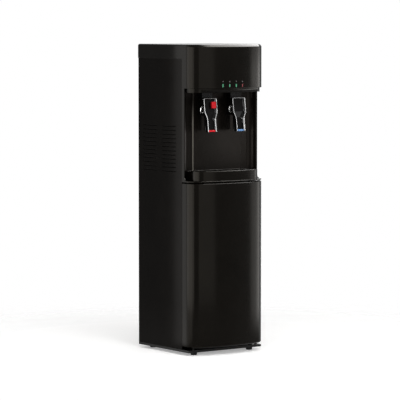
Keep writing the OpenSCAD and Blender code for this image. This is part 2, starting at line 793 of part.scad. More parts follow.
// Tap body: block on the panel, pivot lugs, spout below, threaded barrel and hose tail behind
module tap_body(side) tap_frame(side) difference() {
    half = tap_body_w / 2;
    front = tap_front_y - pivot_y;
    back = tap_face_y - pivot_y;
    foot = tap_foot_z - pivot_z;
    head = lip_z - gap - pivot_z;
    spout_y = front + 6;
    union() {
        block([-half, front, foot], [half, back, head]);
        for (s = [-1, 1]) {
            x0 = s > 0 ? half - 10 : -half;
            bar_x(x0, x0 + 10, 0, 0, lug_r);
            block([x0, 0, -lug_r], [x0 + 10, front + 1, lug_r]);
        }
        translate([0, spout_y, foot - 50]) cylinder(r = spout_r, h = 51);
        bar_y(back - 1, barrel_back_y - pivot_y, 0, barrel_z - pivot_z, barrel_r);
        bar_y(barrel_back_y - pivot_y - 1, tail_y - pivot_y, 0, barrel_z - pivot_z, 4);
    }
    bar_x(-half - 1, half + 1, 0, 0, pin_r + fit);
    translate([0, spout_y, foot - 51]) cylinder(r = spout_r - 2, h = 62);
    bar_y(front - 1, front + 4, 0, plunger_z, plunger_r + 0.08);
    bar_y(front + 3, back - 3, 0, plunger_z, 7);
    bar_y(back - 4, tail_y - pivot_y + 1, 0, barrel_z - pivot_z, 2.4);
    bar_y(back - 8, back - 3, 0, barrel_z - pivot_z, 2.4);
    translate([0, back - 6, plunger_z]) cylinder(r = 2.4, h = barrel_z - pivot_z - plunger_z);
}

module hot_tap_body() color("#191818") tap_body(-1);
module cold_tap_body() color("#191818") tap_body(1);

module paddle_pivot_pins() color("#b9bcc0") for (side = [-1, 1]) tap_frame(side)
    bar_x(-ear_out, ear_out, 0, 0, pin_r);

module valve_plunger(side) tap_frame(side) {
    back = tap_face_y - pivot_y;
    translate([0, plunger_tip_y + plunger_r, plunger_z]) sphere(r = plunger_r);
    bar_y(plunger_tip_y + plunger_r, back - 6, 0, plunger_z, plunger_r);
    bar_y(tap_front_y - pivot_y + 4.4, tap_front_y - pivot_y + 6, 0, plunger_z, 6.4);
}

module hot_valve_plunger() color("#d8d8d4") valve_plunger(-1);
module cold_valve_plunger() color("#d8d8d4") valve_plunger(1);

function spring_run() = tap_face_y - tap_front_y - 10.1;

// Return spring of a valve: an unbroken wire wound round the plunger
function spring_point(a, turns, r, length) = [r * cos(a), length * a / (360 * turns), r * sin(a)];

module valve_spring(side) {
    wire = 0.9;
    turns = 5;
    r = 5.2;
    echo(str("least gap between a valve spring's turns, mm: ", spring_run() / turns - wire));
    y0 = tap_front_y - pivot_y + 6.1 + wire / 2;
    length = spring_run();
    tap_frame(side) translate([0, y0, plunger_z])
        wound_tube([for (i = [0 : turns * 8]) spring_point(i * 45, turns, r, length)], wire / 2, [0, 1, 0]);
}

module hot_valve_spring() color("#c4c6c8") valve_spring(-1);
module cold_valve_spring() color("#c4c6c8") valve_spring(1);

// A six-sided tube swept along points that wind round an axis
module wound_tube(path, r, axis) {
    n = len(path);
    sides = 6;
    rings = [for (i = [0 : n - 1]) let (
        a = path[max(0, i - 1)], b = path[min(n - 1, i + 1)],
        t = (b - a) / norm(b - a),
        u0 = axis - t * (axis * t), u = u0 / norm(u0), v = cross(t, u))
        for (k = [0 : sides - 1]) path[i] + r * (u * cos(360 * k / sides) + v * sin(360 * k / sides))];
    walls = [for (i = [0 : n - 2], k = [0 : sides - 1]) let (
        p = i * sides + k, q = i * sides + (k + 1) % sides) each [[p, q, q + sides], [p, q + sides, p + sides]]];
    caps = [[for (k = [sides - 1 : -1 : 0]) k], [for (k = [0 : sides - 1]) (n - 1) * sides + k]];
    polyhedron(points = rings, faces = concat(walls, caps), convexity = 10);
}

module tap_back_nuts() color("#e4e2dc") for (side = [-1, 1]) difference() {
    translate([side * tap_x, liner_back_y, barrel_z]) rotate([-90, 0, 0]) cylinder(r = barrel_r + 6, h = nut_h, $fn = 6);
    bar_y(liner_back_y - 1, liner_back_y + nut_h + 1, side * tap_x, barrel_z, barrel_r + fit);
}

// Pressed stainless tank: a closed shell with rounded-off ends
module tank_shell(r, h) {
    t = 1.5;
    difference() {
        rotate_extrude() tank_half(r, h);
        at_z(t) rotate_extrude() tank_half(r - t, h - 2 * t);
    }
}

module tank_half(r, h) {
    polygon([[0, 0], [r - 6, 0], [r, 6], [r, h - 8], [r - 8, h], [0, h]]);
}

module cold_tank() color("#c6c9cb") {
    z0 = tank_floor_z + cold_foam;
    translate([cold_x, tank_y, z0]) tank_shell(cold_r, cold_h);
    translate([tap_x, stub_y, z0 + cold_h - 1]) cylinder(r = stub_r, h = stub_top_z - z0 - cold_h + 1);
}

// Evaporator: copper tube wound round the cold tank under the foam
module evaporator_coil() color("#b8713c") {
    rise = coil_rise();
    translate([cold_x, tank_y, coil_z()]) wound_tube([for (i = [0 : coil_turns * coil_steps])
        let (a = i * 360 / coil_steps) [coil_r * cos(a), coil_r * sin(a), rise * i / coil_steps]], coil_d / 2, [0, 0, 1]);
}

function coil_z() = tank_floor_z + cold_foam + 14;
function coil_rise() = (cold_h - 40) / coil_turns;

// Height of the evaporator's lowest turn above a plan position
function coil_foot(x, y) = coil_z() + coil_rise() * ((atan2(y - tank_y, x - cold_x) + 360) % 360) / 360
    - coil_d / 2 - 0.3;

// Foam jacket of the cold tank: a cup with a separate lid
module cold_insulation() color("#d9d6c8") {
    top = tank_floor_z + cold_foam + cold_h;
    difference() {
        translate([cold_x, tank_y, tank_floor_z]) difference() {
            cylinder(r = cold_jacket_r, h = cold_foam + cold_h);
            at_z(cold_foam) cylinder(r = cold_cavity_r, h = cold_h + 1);
        }
        tank_ports() cylinder(d = tube_d + 1, h = 200);
    }
    difference() {
        translate([cold_x, tank_y, top]) cylinder(r = cold_jacket_r, h = cold_foam);
        translate([tap_x, stub_y, top - 1]) cylinder(r = stub_r + gap, h = cold_foam + 2);
    }
}

// Where lines rise through the shelf: water in, hot feed out and in, suction, capillary and hot drain
module tank_ports() {
    for (p = [[outlet_x, riser_y()], [feed_x0(), tank_y], [suction_x(), comp_y], [capillary_x(), drier_y]])
        translate([p[0], p[1], shelf2_z - 1]) children();
}

module hot_ports() {
    for (p = [[feed_x1(), hot_y], [drain_x, hot_y]]) translate([p[0], p[1], shelf2_z - 1]) children();
}

function riser_y() = partition_y + sheet_t + 30;
function feed_x0() = cold_x - 20;
function feed_x1() = hot_x + 20;
function suction_x() = cold_x - sqrt(coil_r * coil_r - pow(comp_y - tank_y, 2));
function capillary_x() = cold_x - sqrt(coil_r * coil_r - pow(drier_y - tank_y, 2));

module hot_tank() color("#c6c9cb") {
    z0 = tank_floor_z + hot_foam;
    translate([hot_x, hot_y, z0]) tank_shell(hot_r, hot_h);
    translate([-tap_x, stub_y, z0 + hot_h - 1]) cylinder(r = stub_r, h = hot_stub_top_z - z0 - hot_h + 1);
}

// Band heater clamped round the hot tank, with its terminal block
module heater_band() color("#a8875a") translate([hot_x, hot_y, tank_floor_z + hot_foam + 34]) difference() {
    union() {
        cylinder(r = hot_r + 2.5, h = 40);
        block([hot_r - 4, -9, 12], [hot_r + 4, 9, 28]);
    }
    at_z(-1) cylinder(r = hot_r + 0.02, h = 42);
}

module hot_insulation() color("#b9bdbf") difference() {
    translate([hot_x, hot_y, tank_floor_z]) difference() {
        cylinder(r = hot_jacket_r, h = 2 * hot_foam + hot_h);
        at_z(hot_foam) cylinder(r = hot_cavity_r, h = hot_h);
    }
    translate([-tap_x, stub_y, tank_floor_z + hot_foam + hot_h - 1]) cylinder(r = stub_r + gap, h = hot_foam + 2);
    hot_ports() cylinder(d = tube_d + 1, h = 40);
}

// Folded shelf that carries both tanks between the side panels
module tank_shelf() color("#8f9294") difference() {
    union() {
        block([-side_in, liner_back_y + 8, shelf2_z], [side_in, rear_in - sheet_t, tank_floor_z]);
        for (y = [liner_back_y + 8, rear_in - 2 * sheet_t - 2])
            block([-side_in + 14, y, shelf2_z - 12], [side_in - 14, y + sheet_t, shelf2_z + eps]);
    }
    tank_ports() cylinder(d = tube_d + 1, h = 4);
    hot_ports() cylinder(d = tube_d + 1, h = 4);
}

// Bulkhead between the filter bay and the compressor space
module bay_partition() color("#8f9294") difference() {
    union() {
        block([-side_in, partition_y, rim_z], [side_in, partition_y + sheet_t, shelf2_z]);
        block([-side_x + 3.5, partition_y, floor_z], [side_x - 3.5, partition_y + sheet_t, rim_z + 1]);
    }
    for (x = [inlet_x, outlet_x]) bar_y(partition_y - 1, partition_y + 3, x, manifold_mid_z(), tube_d / 2 + gap);
}

function manifold_mid_z() = manifold_z + manifold_h / 2;
function filter_x(i) = i * filter_pitch - 18;

module filter_manifold() color("#e6e6e2") difference() {
    union() {
        block([filter_x(-1) - 30, manifold_front_y, manifold_z], [inlet_x + 10, partition_y, manifold_z + manifold_h]);
        for (i = [-1 : 1]) translate([filter_x(i), filter_y, manifold_z - 6]) cylinder(r = neck_r + 5, h = 7);
    }
    for (i = [-1 : 1]) translate([filter_x(i), filter_y, manifold_z - 7]) cylinder(r = neck_r + 0.08, h = neck_h + 7.5);
    for (x = [inlet_x, outlet_x]) bar_y(partition_y - 12, partition_y + 1, x, manifold_mid_z(), tube_d / 2 + fit);
}

// Quick-change filter cartridge: domed body, shoulder, and a neck that turns in the manifold
module filter_cartridge(i) {
    top = manifold_z - 6 - gap;
    translate([filter_x(i), filter_y, top]) {
        rotate_extrude() polygon(concat([[0, -filter_h], [filter_r - 8, -filter_h]],
            [for (a = [-90 : 15 : 0]) [filter_r - 8 + 8 * cos(a), -filter_h + 8 + 8 * sin(a)]],
            [[filter_r, -34], [filter_r - 2, -32], [filter_r - 2, -8], [filter_r - 6, 0], [0, 0]]));
        cylinder(r = neck_r, h = neck_h + 6);
    }
}

module sediment_filter() color("#f1f1ee") filter_cartridge(-1);
module carbon_filter() color("#f1f1ee") filter_cartridge(0);
module polishing_filter() color("#f1f1ee") filter_cartridge(1);

// Push-fit bulkhead inlet for quarter-inch tubing
module inlet_fitting() color("#e9e9e6") difference() {
    union() {
        bar_y(rear_y, rear_y + 4, inlet_x, inlet_z, 12);
        bar_y(rear_in - 16, rear_y + 1, inlet_x, inlet_z, 9);
        bar_y(rear_y + 4, rear_y + 16, inlet_x, inlet_z, 8);
    }
    bar_y(rear_y - 4, rear_y + 17, inlet_x, inlet_z, 6.35 / 2 + 0.05);
    bar_y(rear_in - 17, rear_in - 6, inlet_x, inlet_z, tube_d / 2 + fit);
    bar_y(rear_in - 7, rear_y, inlet_x, inlet_z, 2);
}

function valve_y1() = rear_in - 34;

// Inlet solenoid valve: brass-ported body with its coil on top, on a bracket from the base
module solenoid_valve() color("#dcdcd8") {
    y1 = valve_y1();
    y0 = y1 - 34;
    difference() {
        block([inlet_x - 14, y0, inlet_z - 12], [inlet_x + 14, y1, inlet_z + 12]);
        bar_y(y0 - 1, y0 + 10, inlet_x, inlet_z, tube_d / 2 + fit);
        bar_y(y1 - 10, y1 + 1, inlet_x, inlet_z, tube_d / 2 + fit);
    }
    translate([inlet_x, (y0 + y1) / 2, inlet_z + 12 - eps]) cylinder(r = 13, h = 28);
    block([inlet_x - 14, y0 + 8, floor_z], [inlet_x + 14, y0 + 9.5, inlet_z - 12 + eps]);
    block([inlet_x - 14, y0 + 8, floor_z], [inlet_x + 14, y0 + 26, floor_z + 1.5]);
}

// Water lines: supply to the valve, valve to filters, filters to the cold tank, cold tank to the
// hot tank, hot drain, and a hose from each tank up and forward to its tap
module water_lines() color("#dfe6ea") {
    y1 = valve_y1();
    y0 = y1 - 34;
    r = 12;
    bar_y(y1 - 8, rear_in - 8, inlet_x, inlet_z, tube_d / 2);
    column_y = partition_y + sheet_t + 6 + r;
    translate([inlet_x, y0 + 8, inlet_z]) rotate([90, 0, 0])
        straight(y0 + 8 - column_y - r, tube_d) bend(r, tube_d, 90)
        straight(manifold_mid_z() - inlet_z - 2 * r, tube_d) bend(r, tube_d, 180)
        straight(column_y - r - partition_y + 10, tube_d);
    translate([outlet_x, partition_y - 10, manifold_mid_z()]) rotate([-90, 0, 0])
        straight(riser_y() - r - partition_y + 10, tube_d) bend(r, tube_d, -90)
        straight(tank_floor_z + cold_foam - manifold_mid_z() - r, tube_d);
    feed_z = shelf2_z - 34;
    translate([feed_x0(), tank_y, tank_floor_z + cold_foam]) rotate([180, 0, 0])
        straight(tank_floor_z + cold_foam - feed_z - r, tube_d) bend(r, tube_d, 180)
        straight(feed_x0() - feed_x1() - 2 * r - 18 + eps, tube_d)
        sway(18, tank_y - hot_y, tube_d, -90) bend(r, tube_d, 0)
        straight(tank_floor_z + hot_foam - feed_z - r, tube_d);
    translate([drain_x, hot_y, tank_floor_z + hot_foam]) rotate([180, 0, 0])
        straight(tank_floor_z + hot_foam - drain_z - r, tube_d) bend(r, tube_d, -90)
        straight(rear_in - 8 - hot_y - r, tube_d);
    tap_hose(-1, hot_stub_top_z);
    tap_hose(1, stub_top_z);
}

// Hose from a tank's outlet stub up and forward to its tap
module tap_hose(side, stub_top) {
    translate([side * tap_x, tail_y, barrel_z]) rotate([-90, 0, 0])
        straight(stub_y - hose_bend - tail_y, 10) bend(hose_bend, 10, 90)
        straight(barrel_z - hose_bend - stub_top, 10);
}

// Pipe step with a sideways shift made of two equal arcs
module sway(length, shift, d, roll) {
    angle = 2 * atan(shift / length);
    r = length / 2 / sin(angle);
    bend(r, d, roll, angle) bend(r, d, 180, angle) rotate([0, 0, 180 - roll]) children();
}

// Hermetic compressor: two welded shells, foot plate, stub tubes and terminal box
module compressor() color("#1a1a1c") translate([comp_x, comp_y, 0]) difference() {
    union() {
        at_z(comp_z) rotate_extrude() polygon(concat([[0, 0], [comp_r - 18, 0]],
            [for (a = [-90 : 15 : 0]) [comp_r - 18 + 18 * cos(a), 22 + 22 * sin(a)]],
            [[comp_r, comp_h * 0.55], [comp_r + 2.5, comp_h * 0.55], [comp_r + 2.5, comp_h * 0.59], [comp_r - 1, comp_h * 0.59]],
            [for (a = [0 : 15 : 90]) [comp_r - 31 + 30 * cos(a), comp_h - 30 + 30 * sin(a)]], [[0, comp_h]]));
        block([-comp_r - 8, -comp_r + 12, comp_foot_z], [comp_r + 8, comp_r - 12, comp_z + 0.5]);
        block([comp_r - 6, -18, comp_z + 40], [comp_r + 16, 18, comp_z + 82]);
    }
    for (p = grommet_places()) translate([p[0], p[1], comp_foot_z - 1]) cylinder(r = 4.2, h = 8);
}

function grommet_places() = [for (x = [-1, 1], y = [-1, 1]) [x * (comp_r - 1), y * (comp_r - 20)]];

module compressor_grommets() color("#3b3b3b") translate([comp_x, comp_y, floor_z]) for (p = grommet_places())
    translate([p[0], p[1], 0]) {
        rotate_extrude() polygon([[0, 0], [9, 0], [9, 3], [7, grommet_h / 2], [9, grommet_h - 3], [9, grommet_h], [0, grommet_h]]);
        at_z(grommet_h) cylinder(r = 4, h = 5);
    }

// Condenser passes, drawn from the top pass down; each but the last ends in a return bend
module condenser_passes(left, roll) {
    straight(cond_right - cond_left, cond_d) {
        if (left > 1) bend(cond_bend, cond_d, roll, 180) condenser_passes(left - 1, 180);
        else bend(riser_bend, cond_d, -90) cylinder(d = cond_d, h = cond_y - riser_bend - rear_y);
    }
}

// Condenser: one tube up the left edge and back and forth across the rear
module condenser() color("#1f1f20") {
    translate([riser_x, rear_y, riser_z]) rotate([-90, 0, 0])
        straight(cond_y - rear_y - riser_bend, cond_d) bend(riser_bend, cond_d, -90)
        straight(cond_z1 - riser_z - 2 * riser_bend, cond_d) bend(riser_bend, cond_d, 90)
        cylinder(d = cond_d, h = cond_left - riser_x - riser_bend);
    translate([cond_left, cond_y, cond_z1]) rotate([0, 90, 0]) condenser_passes(cond_passes, 0);
}

// Upright wires soldered across the condenser passes, with four feet welded to them
module condenser_wires() color("#1f1f20") {
    wire_y = cond_y + cond_d / 2 + wire_d / 2 + 0.02;
    span = cond_right - cond_left - 12;
    count = floor(span / wire_pitch);
    x0 = (cond_left + cond_right) / 2 - count * wire_pitch / 2;
    for (i = [0 : count]) translate([x0 + i * wire_pitch, wire_y, cond_z0 - 10])
        cylinder(d = wire_d, h = cond_z1 - cond_z0 + 20, $fn = 16);
    for (i = [2, count - 2], z = [cond_z0 + cond_pitch, cond_z1 - cond_pitch]) difference() {
        x = x0 + i * wire_pitch;
        block([x - 3, rear_y, z - 7], [x + 3, wire_y, z + 7]);
        bar_x(x - 4, x + 4, cond_y, z, cond_d / 2 + fit);
    }
}

// Brazed copper work: discharge and suction lines, filter drier, and the capillary to the evaporator
module refrigerant_lines() color("#b8713c") {
    r = 12;
    shell_top = comp_z + comp_h;
    stub_x = comp_x - 12;
    translate([stub_x, comp_y, shell_top]) straight(riser_z - r - shell_top, cond_d)
        bend(r, cond_d, 180) straight(stub_x - riser_x - 2 * r, cond_d)
        bend(r, cond_d, -90) cylinder(d = cond_d, h = rear_y - comp_y - r);
    suction_z = shelf2_z - 60;
    translate([comp_x + 12, comp_y, shell_top]) straight(suction_z - r - shell_top, tube_d)
        bend(r, tube_d, 0) straight(suction_x() - comp_x - 12 - 2 * r, tube_d)
        bend(r, tube_d, 180) straight(coil_foot(suction_x(), comp_y) - suction_z - r, tube_d);
    x = cond_left - riser_bend;
    z1 = cond_z0 - 14;
    translate([x, drier_y, z1 - 70])
        rotate_extrude() polygon([[0, 0], [3, 0], [3, 6], [9, 14], [9, 56], [3, 64], [3, 70], [0, 70]]);
    translate([x, drier_y, z1]) straight(4, cond_d) bend(10, cond_d, 90)
        cylinder(d = cond_d, h = rear_y - drier_y - 10);
    translate([x, drier_y, z1 - 70]) rotate([180, 0, 0]) straight(4, capillary_d) bend(10, capillary_d, 0)
        straight(capillary_x() - x - 20, capillary_d) bend(10, capillary_d, 0)
        straight(coil_foot(capillary_x(), drier_y) - z1 + 74, capillary_d);
}

function power_x0() = switch_x - 35;
function power_x1() = switch_x + 68;

// Power module on the rear panel: bezel, two rocker wells and a recessed appliance inlet
module power_inlet() color("#232323") {
    inlet_mid = switch_x + 47;
    difference() {
        union() {
            block([power_x0(), rear_y, switch_z - 16], [power_x1(), rear_y + 2, switch_z + 16]);
            block([power_x0() + 2.3, rear_in - 20, switch_z - 12.9], [power_x1() - 2.3, rear_y + 1, switch_z + 12.9]);
        }
        for (s = [-1, 1]) block([switch_x + s * 15 - rocker_w / 2 - gap, rear_in - 17, switch_z - rocker_r - gap],
            [switch_x + s * 15 + rocker_w / 2 + gap, rear_y + 3, switch_z + rocker_r + gap]);
        bar_x(switch_x - 26, switch_x + 26, rear_y - 3, switch_z, 1 + fit);
        along_y(rear_in - 14, rear_y + 3) polygon([[inlet_mid - 12, switch_z - 8], [inlet_mid + 12, switch_z - 8],
            [inlet_mid + 12, switch_z + 3], [inlet_mid + 7, switch_z + 8], [inlet_mid - 7, switch_z + 8],
            [inlet_mid - 12, switch_z + 3]]);
    }
    for (p = [[-7, -2], [0, 2], [7, -2]]) block([inlet_mid + p[0] - 1, rear_in - 15, switch_z + p[1] - 2],
        [inlet_mid + p[0] + 1, rear_y - 3, switch_z + p[1] + 2]);
}

// Hot tank drain: spigot clamped in the rear panel, closed by a quarter-turn cap
module drain_outlet() color("#dcdcd8") difference() {
    union() {
        bar_y(rear_in - 12, rear_y + 12, drain_x, drain_z, 8);
        bar_y(rear_y, rear_y + 2.5, drain_x, drain_z, 11);
    }
    bar_y(rear_in - 7, rear_y + 13, drain_x, drain_z, 4);
    bar_y(rear_in - 13, rear_in - 6, drain_x, drain_z, tube_d / 2 + fit);
}

module drain_cap() color("#262626") difference() {
    union() {
        bar_y(rear_y + 3, rear_y + 15, drain_x, drain_z, 10.5);
        block([drain_x - 2, rear_y + 14, drain_z - 9], [drain_x + 2, rear_y + 19, drain_z + 9]);
    }
    bar_y(rear_y + 2, rear_y + 12.5, drain_x, drain_z, 8 + fit);
}

// Screws that hold the rear panel to the side panels' flanges
module cabinet_screws() color("#9a9da0") for (side = [-1, 1], z = screw_levels()) {
    bar_y(rear_in - 5, rear_y + 0.5, side * (side_in - 6), z, 1.5);
    translate([side * (side_in - 6), rear_y, z]) rotate([-90, 0, 0]) difference() {
        rotate_extrude() polygon([[0, 0], [3.5, 0], [3.5, 0.8], [2.6, 1.8], [0, 2.2]]);
        for (a = [0, 90]) rotate([0, 0, a]) translate([-2, -0.4, 1.2]) cube([4, 0.8, 2]);
    }
}

// One rocker: a drum with a flat front, tilted at rest, on short trunnions
module switch_rocker(s) {
    x = switch_x + s * 15;
    r = rocker_r - 0.4;
    translate([x, rear_y - 3, switch_z]) intersection() {
        bar_x(-rocker_w / 2, rocker_w / 2, 0, 0, r);
        rotate([rocker_tilt, 0, 0]) block([-rocker_w, -4, -20], [rocker_w, 7, 20]);
    }
    bar_x(x - rocker_w / 2 - 3, x + rocker_w / 2 + 3, rear_y - 3, switch_z, 1);
}

module hot_switch_rocker() color("#c22a30") switch_rocker(-1);
module cold_switch_rocker() color("#2c7a4a") switch_rocker(1);

base_tray();
levelling_feet();
left_side_panel();
right_side_panel();
rear_panel();
top_cover();
front_fascia();
bay_liner();
tap_panel();
drip_tray();
drip_grid();
door_skin();
door_inner_panel();
hinge_pins();
lower_hinge_bracket();
door_magnet();
green_lenses();
red_lens();
indicator_board();
hot_tap_body();
cold_tap_body();
hot_paddle();
cold_paddle();
hot_paddle_trim();
cold_paddle_trim();
hot_paddle_tip();
cold_paddle_tip();
paddle_pivot_pins();
hot_valve_plunger();
cold_valve_plunger();
hot_valve_spring();
cold_valve_spring();
hot_lock_button();
tap_back_nuts();
cold_tank();
evaporator_coil();
cold_insulation();
hot_tank();
heater_band();
hot_insulation();
tank_shelf();
bay_partition();
filter_manifold();
sediment_filter();
carbon_filter();
polishing_filter();
inlet_fitting();
solenoid_valve();
water_lines();
compressor();
compressor_grommets();
condenser();
condenser_wires();
refrigerant_lines();
power_inlet();
hot_switch_rocker();
cold_switch_rocker();
drain_outlet();
drain_cap();
cabinet_screws();
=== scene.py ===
import math

import bmesh
import bpy
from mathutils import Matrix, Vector


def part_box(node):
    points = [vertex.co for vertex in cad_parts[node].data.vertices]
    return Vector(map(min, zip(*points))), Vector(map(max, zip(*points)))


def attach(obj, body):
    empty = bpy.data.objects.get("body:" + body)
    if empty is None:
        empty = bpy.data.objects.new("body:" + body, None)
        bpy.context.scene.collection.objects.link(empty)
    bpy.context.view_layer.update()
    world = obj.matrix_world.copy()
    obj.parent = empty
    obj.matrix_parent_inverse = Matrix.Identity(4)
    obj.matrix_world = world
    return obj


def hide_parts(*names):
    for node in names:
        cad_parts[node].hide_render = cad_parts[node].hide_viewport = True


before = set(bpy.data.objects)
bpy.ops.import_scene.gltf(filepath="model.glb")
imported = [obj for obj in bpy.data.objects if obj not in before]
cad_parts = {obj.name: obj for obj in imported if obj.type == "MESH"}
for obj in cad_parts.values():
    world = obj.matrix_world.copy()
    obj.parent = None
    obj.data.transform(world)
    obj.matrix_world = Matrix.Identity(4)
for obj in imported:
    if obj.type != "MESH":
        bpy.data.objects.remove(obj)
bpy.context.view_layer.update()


# Camera: a long lens off the front left corner, a little above the cooler's top and looking
# slightly down.
camera_data = bpy.data.cameras.new("photo_camera")
camera_data.sensor_width = 36
camera_data.lens = 220.9
camera_data.clip_end = 60
camera = bpy.data.objects.new("photo_camera", camera_data)
camera.location = (-4.870, -6.758, 1.136)
camera.rotation_euler = (math.radians(85.70), 0, math.radians(-35.70))
bpy.context.scene.collection.objects.link(camera)
bpy.context.scene.camera = camera
bpy.context.scene.view_settings.view_transform = "Standard"


# Studio walls: white surroundings that the camera and the reflections see, with a plainer level
# of light for matt surfaces. Reflections off the cooler's sides find a darker zone at the rear
# left.
def node_of(tree, kind, **values):
    """A new node with its settings and its inputs' values given by name."""
    made = tree.nodes.new(kind)
    for key, value in values.items():
        if hasattr(made, key):
            setattr(made, key, value)
        else:
            made.inputs[key.replace("_", " ")].default_value = value
    return made


def seen_rays(tree):
    """The light path node, and 1 for camera, mirror and see-through rays."""
    path = node_of(tree, "ShaderNodeLightPath")
    either = node_of(tree, "ShaderNodeMath", operation="MAXIMUM")
    tree.links.new(path.outputs["Is Camera Ray"], either.inputs[0])
    tree.links.new(path.outputs["Is Glossy Ray"], either.inputs[1])
    every = node_of(tree, "ShaderNodeMath", operation="MAXIMUM")
    tree.links.new(either.outputs[0], every.inputs[0])
    tree.links.new(path.outputs["Is Transmission Ray"], every.inputs[1])
    return path, every.outputs[0]


def eased(tree, value, first, last, at_first=0.0, at_last=1.0):
    """A smooth step from one level to another while the value goes from first to last."""
    step = node_of(tree, "ShaderNodeMapRange", interpolation_type="SMOOTHSTEP")
    numbers = {"From Min": first, "From Max": last, "To Min": at_first, "To Max": at_last}
    for socket, number in numbers.items():
        step.inputs[socket].default_value = number
    tree.links.new(value, step.inputs["Value"])
    return step.outputs["Result"]


dark_zone_way = (-0.588, 0.809, 0.0)
dark_zone_share = 0.3
surroundings = bpy.data.worlds.new("white_studio")
bpy.context.scene.world = surroundings
surroundings.use_nodes = True
tree = surroundings.node_tree
tree.nodes.clear()
seen = node_of(tree, "ShaderNodeBackground", Color=(1, 1, 1, 1))
lit = node_of(tree, "ShaderNodeBackground", Color=(1, 0.99, 0.975, 1), Strength=0.55)
path, any_seen = seen_rays(tree)
toward = node_of(tree, "ShaderNodeTexCoord")
zone = node_of(tree, "ShaderNodeVectorMath", operation="DOT_PRODUCT")
zone.inputs[1].default_value = dark_zone_way
tree.links.new(toward.outputs["Generated"], zone.inputs[0])
only_gloss = node_of(tree, "ShaderNodeMath", operation="MULTIPLY")
darker = eased(tree, zone.outputs["Value"], 0.80, 0.96, 0.0, dark_zone_share)
tree.links.new(darker, only_gloss.inputs[0])
tree.links.new(path.outputs["Is Glossy Ray"], only_gloss.inputs[1])
left_over = node_of(tree, "ShaderNodeMath", operation="SUBTRACT")
left_over.inputs[0].default_value = 1.0
tree.links.new(only_gloss.outputs[0], left_over.inputs[1])
tree.links.new(left_over.outputs[0], seen.inputs["Strength"])
mixed = node_of(tree, "ShaderNodeMixShader")
tree.links.new(any_seen, mixed.inputs[0])
tree.links.new(lit.outputs[0], mixed.inputs[1])
tree.links.new(seen.outputs[0], mixed.inputs[2])
world_out = node_of(tree, "ShaderNodeOutputWorld")
tree.links.new(mixed.outputs[0], world_out.inputs[0])


# Studio floor: a pale matt disc that takes the cooler's shadow and fades into the white at its
# rim. A faint glow of its own keeps it white where the lamps don't reach.
floor_radius = 2.4
floor_solid_to = 0.5
floor_gone_at = 1.5
floor_mesh = bpy.data.meshes.new("studio_floor")
outline = bmesh.new()
bmesh.ops.create_circle(outline, cap_ends=True, segments=96, radius=floor_radius)
outline.to_mesh(floor_mesh)
outline.free()
floor = bpy.data.objects.new("studio_floor", floor_mesh)
floor.location = (0, 0, -0.0005)
bpy.context.scene.collection.objects.link(floor)
floor_paint = bpy.data.materials.new("pale_floor")
floor_paint.use_nodes = True
tree = floor_paint.node_tree
tree.nodes.clear()
matt = node_of(tree, "ShaderNodeBsdfDiffuse", Color=(0.93, 0.93, 0.93, 1))
glow = node_of(tree, "ShaderNodeEmission", Color=(1, 1, 1, 1), Strength=0.34)
white = node_of(tree, "ShaderNodeAddShader")
tree.links.new(matt.outputs[0], white.inputs[0])
tree.links.new(glow.outputs[0], white.inputs[1])
ground = node_of(tree, "ShaderNodeMixShader")
tree.links.new(seen_rays(tree)[1], ground.inputs[0])
tree.links.new(matt.outputs[0], ground.inputs[1])
tree.links.new(white.outputs[0], ground.inputs[2])
place = node_of(tree, "ShaderNodeTexCoord")
distance = node_of(tree, "ShaderNodeVectorMath", operation="LENGTH")
tree.links.new(place.outputs["Object"], distance.inputs[0])
clear = node_of(tree, "ShaderNodeBsdfTransparent")
faded = node_of(tree, "ShaderNodeMixShader")
outwards = eased(tree, distance.outputs["Value"], floor_solid_to, floor_gone_at)
tree.links.new(outwards, faded.inputs[0])
tree.links.new(ground.outputs[0], faded.inputs[1])
tree.links.new(clear.outputs[0], faded.inputs[2])
floor_out = node_of(tree, "ShaderNodeOutputMaterial")
tree.links.new(faded.outputs[0], floor_out.inputs["Surface"])
floor_mesh.materials.append(floor_paint)


# Studio lamps: soft boxes that the black surfaces mirror as bands. Only the plain key and the two
# fills light matt surfaces as well, so the floor stays white.
cooler_middle = Vector((0, 0, 0.75))


def softbox(name, azimuth, elevation, away, width, height, level):
    """A soft lamp whose face shows as level times white, aimed at the cooler's middle."""
    a, e = math.radians(azimuth), math.radians(elevation)
    aim = Vector((math.sin(a) * math.cos(e), -math.cos(a) * math.cos(e), math.sin(e)))
    data = bpy.data.lights.new(name, "AREA")
    data.shape = "RECTANGLE"
    data.size, data.size_y = width, height
    data.energy = level * math.pi * width * height
    lamp = bpy.data.objects.new(name, data)
    lamp.location = cooler_middle + aim * away
    lamp.rotation_euler = (-aim).to_track_quat("-Z", "Y").to_euler()
    lamp.visible_camera = False
    lamp.visible_diffuse = name.startswith(("plain", "fill"))
    bpy.context.scene.collection.objects.link(lamp)
    return lamp


for lamp_row in (("key_right", 80, 55, 2.4, 2.7, 1.35, 29),
                 ("over_front", 38, 38, 2.2, 1.7, 0.8, 38),
                 ("plain_key", -30, 42, 2.6, 2.0, 1.6, 3.0),
                 ("behind", 160, -14, 2.0, 2.0, 0.8, 4.5),
                 ("strip_right", 69, -18, 1.5, 0.42, 1.4, 9),
                 ("strip_right_upper", 69, 18, 1.6, 0.42, 0.9, 9),
                 ("strip_right_edge", 57, -18, 1.5, 0.20, 1.4, 3.4),
                 ("strip_right_edge_upper", 57, 18, 1.6, 0.20, 0.9, 3.4),
                 ("side_left", -88, -5, 1.2, 1.36, 1.22, 4.9),
                 ("fill_front", -4, -6, 1.6, 1.04, 1.15, 1.9),
                 ("fill_front_upper", -4, 30, 1.9, 1.04, 0.9, 1.9)):
    softbox(*lamp_row)
bay_fill = softbox("bay_fill", 0, 0, 0.6, 0.16, 0.18, 5.0)
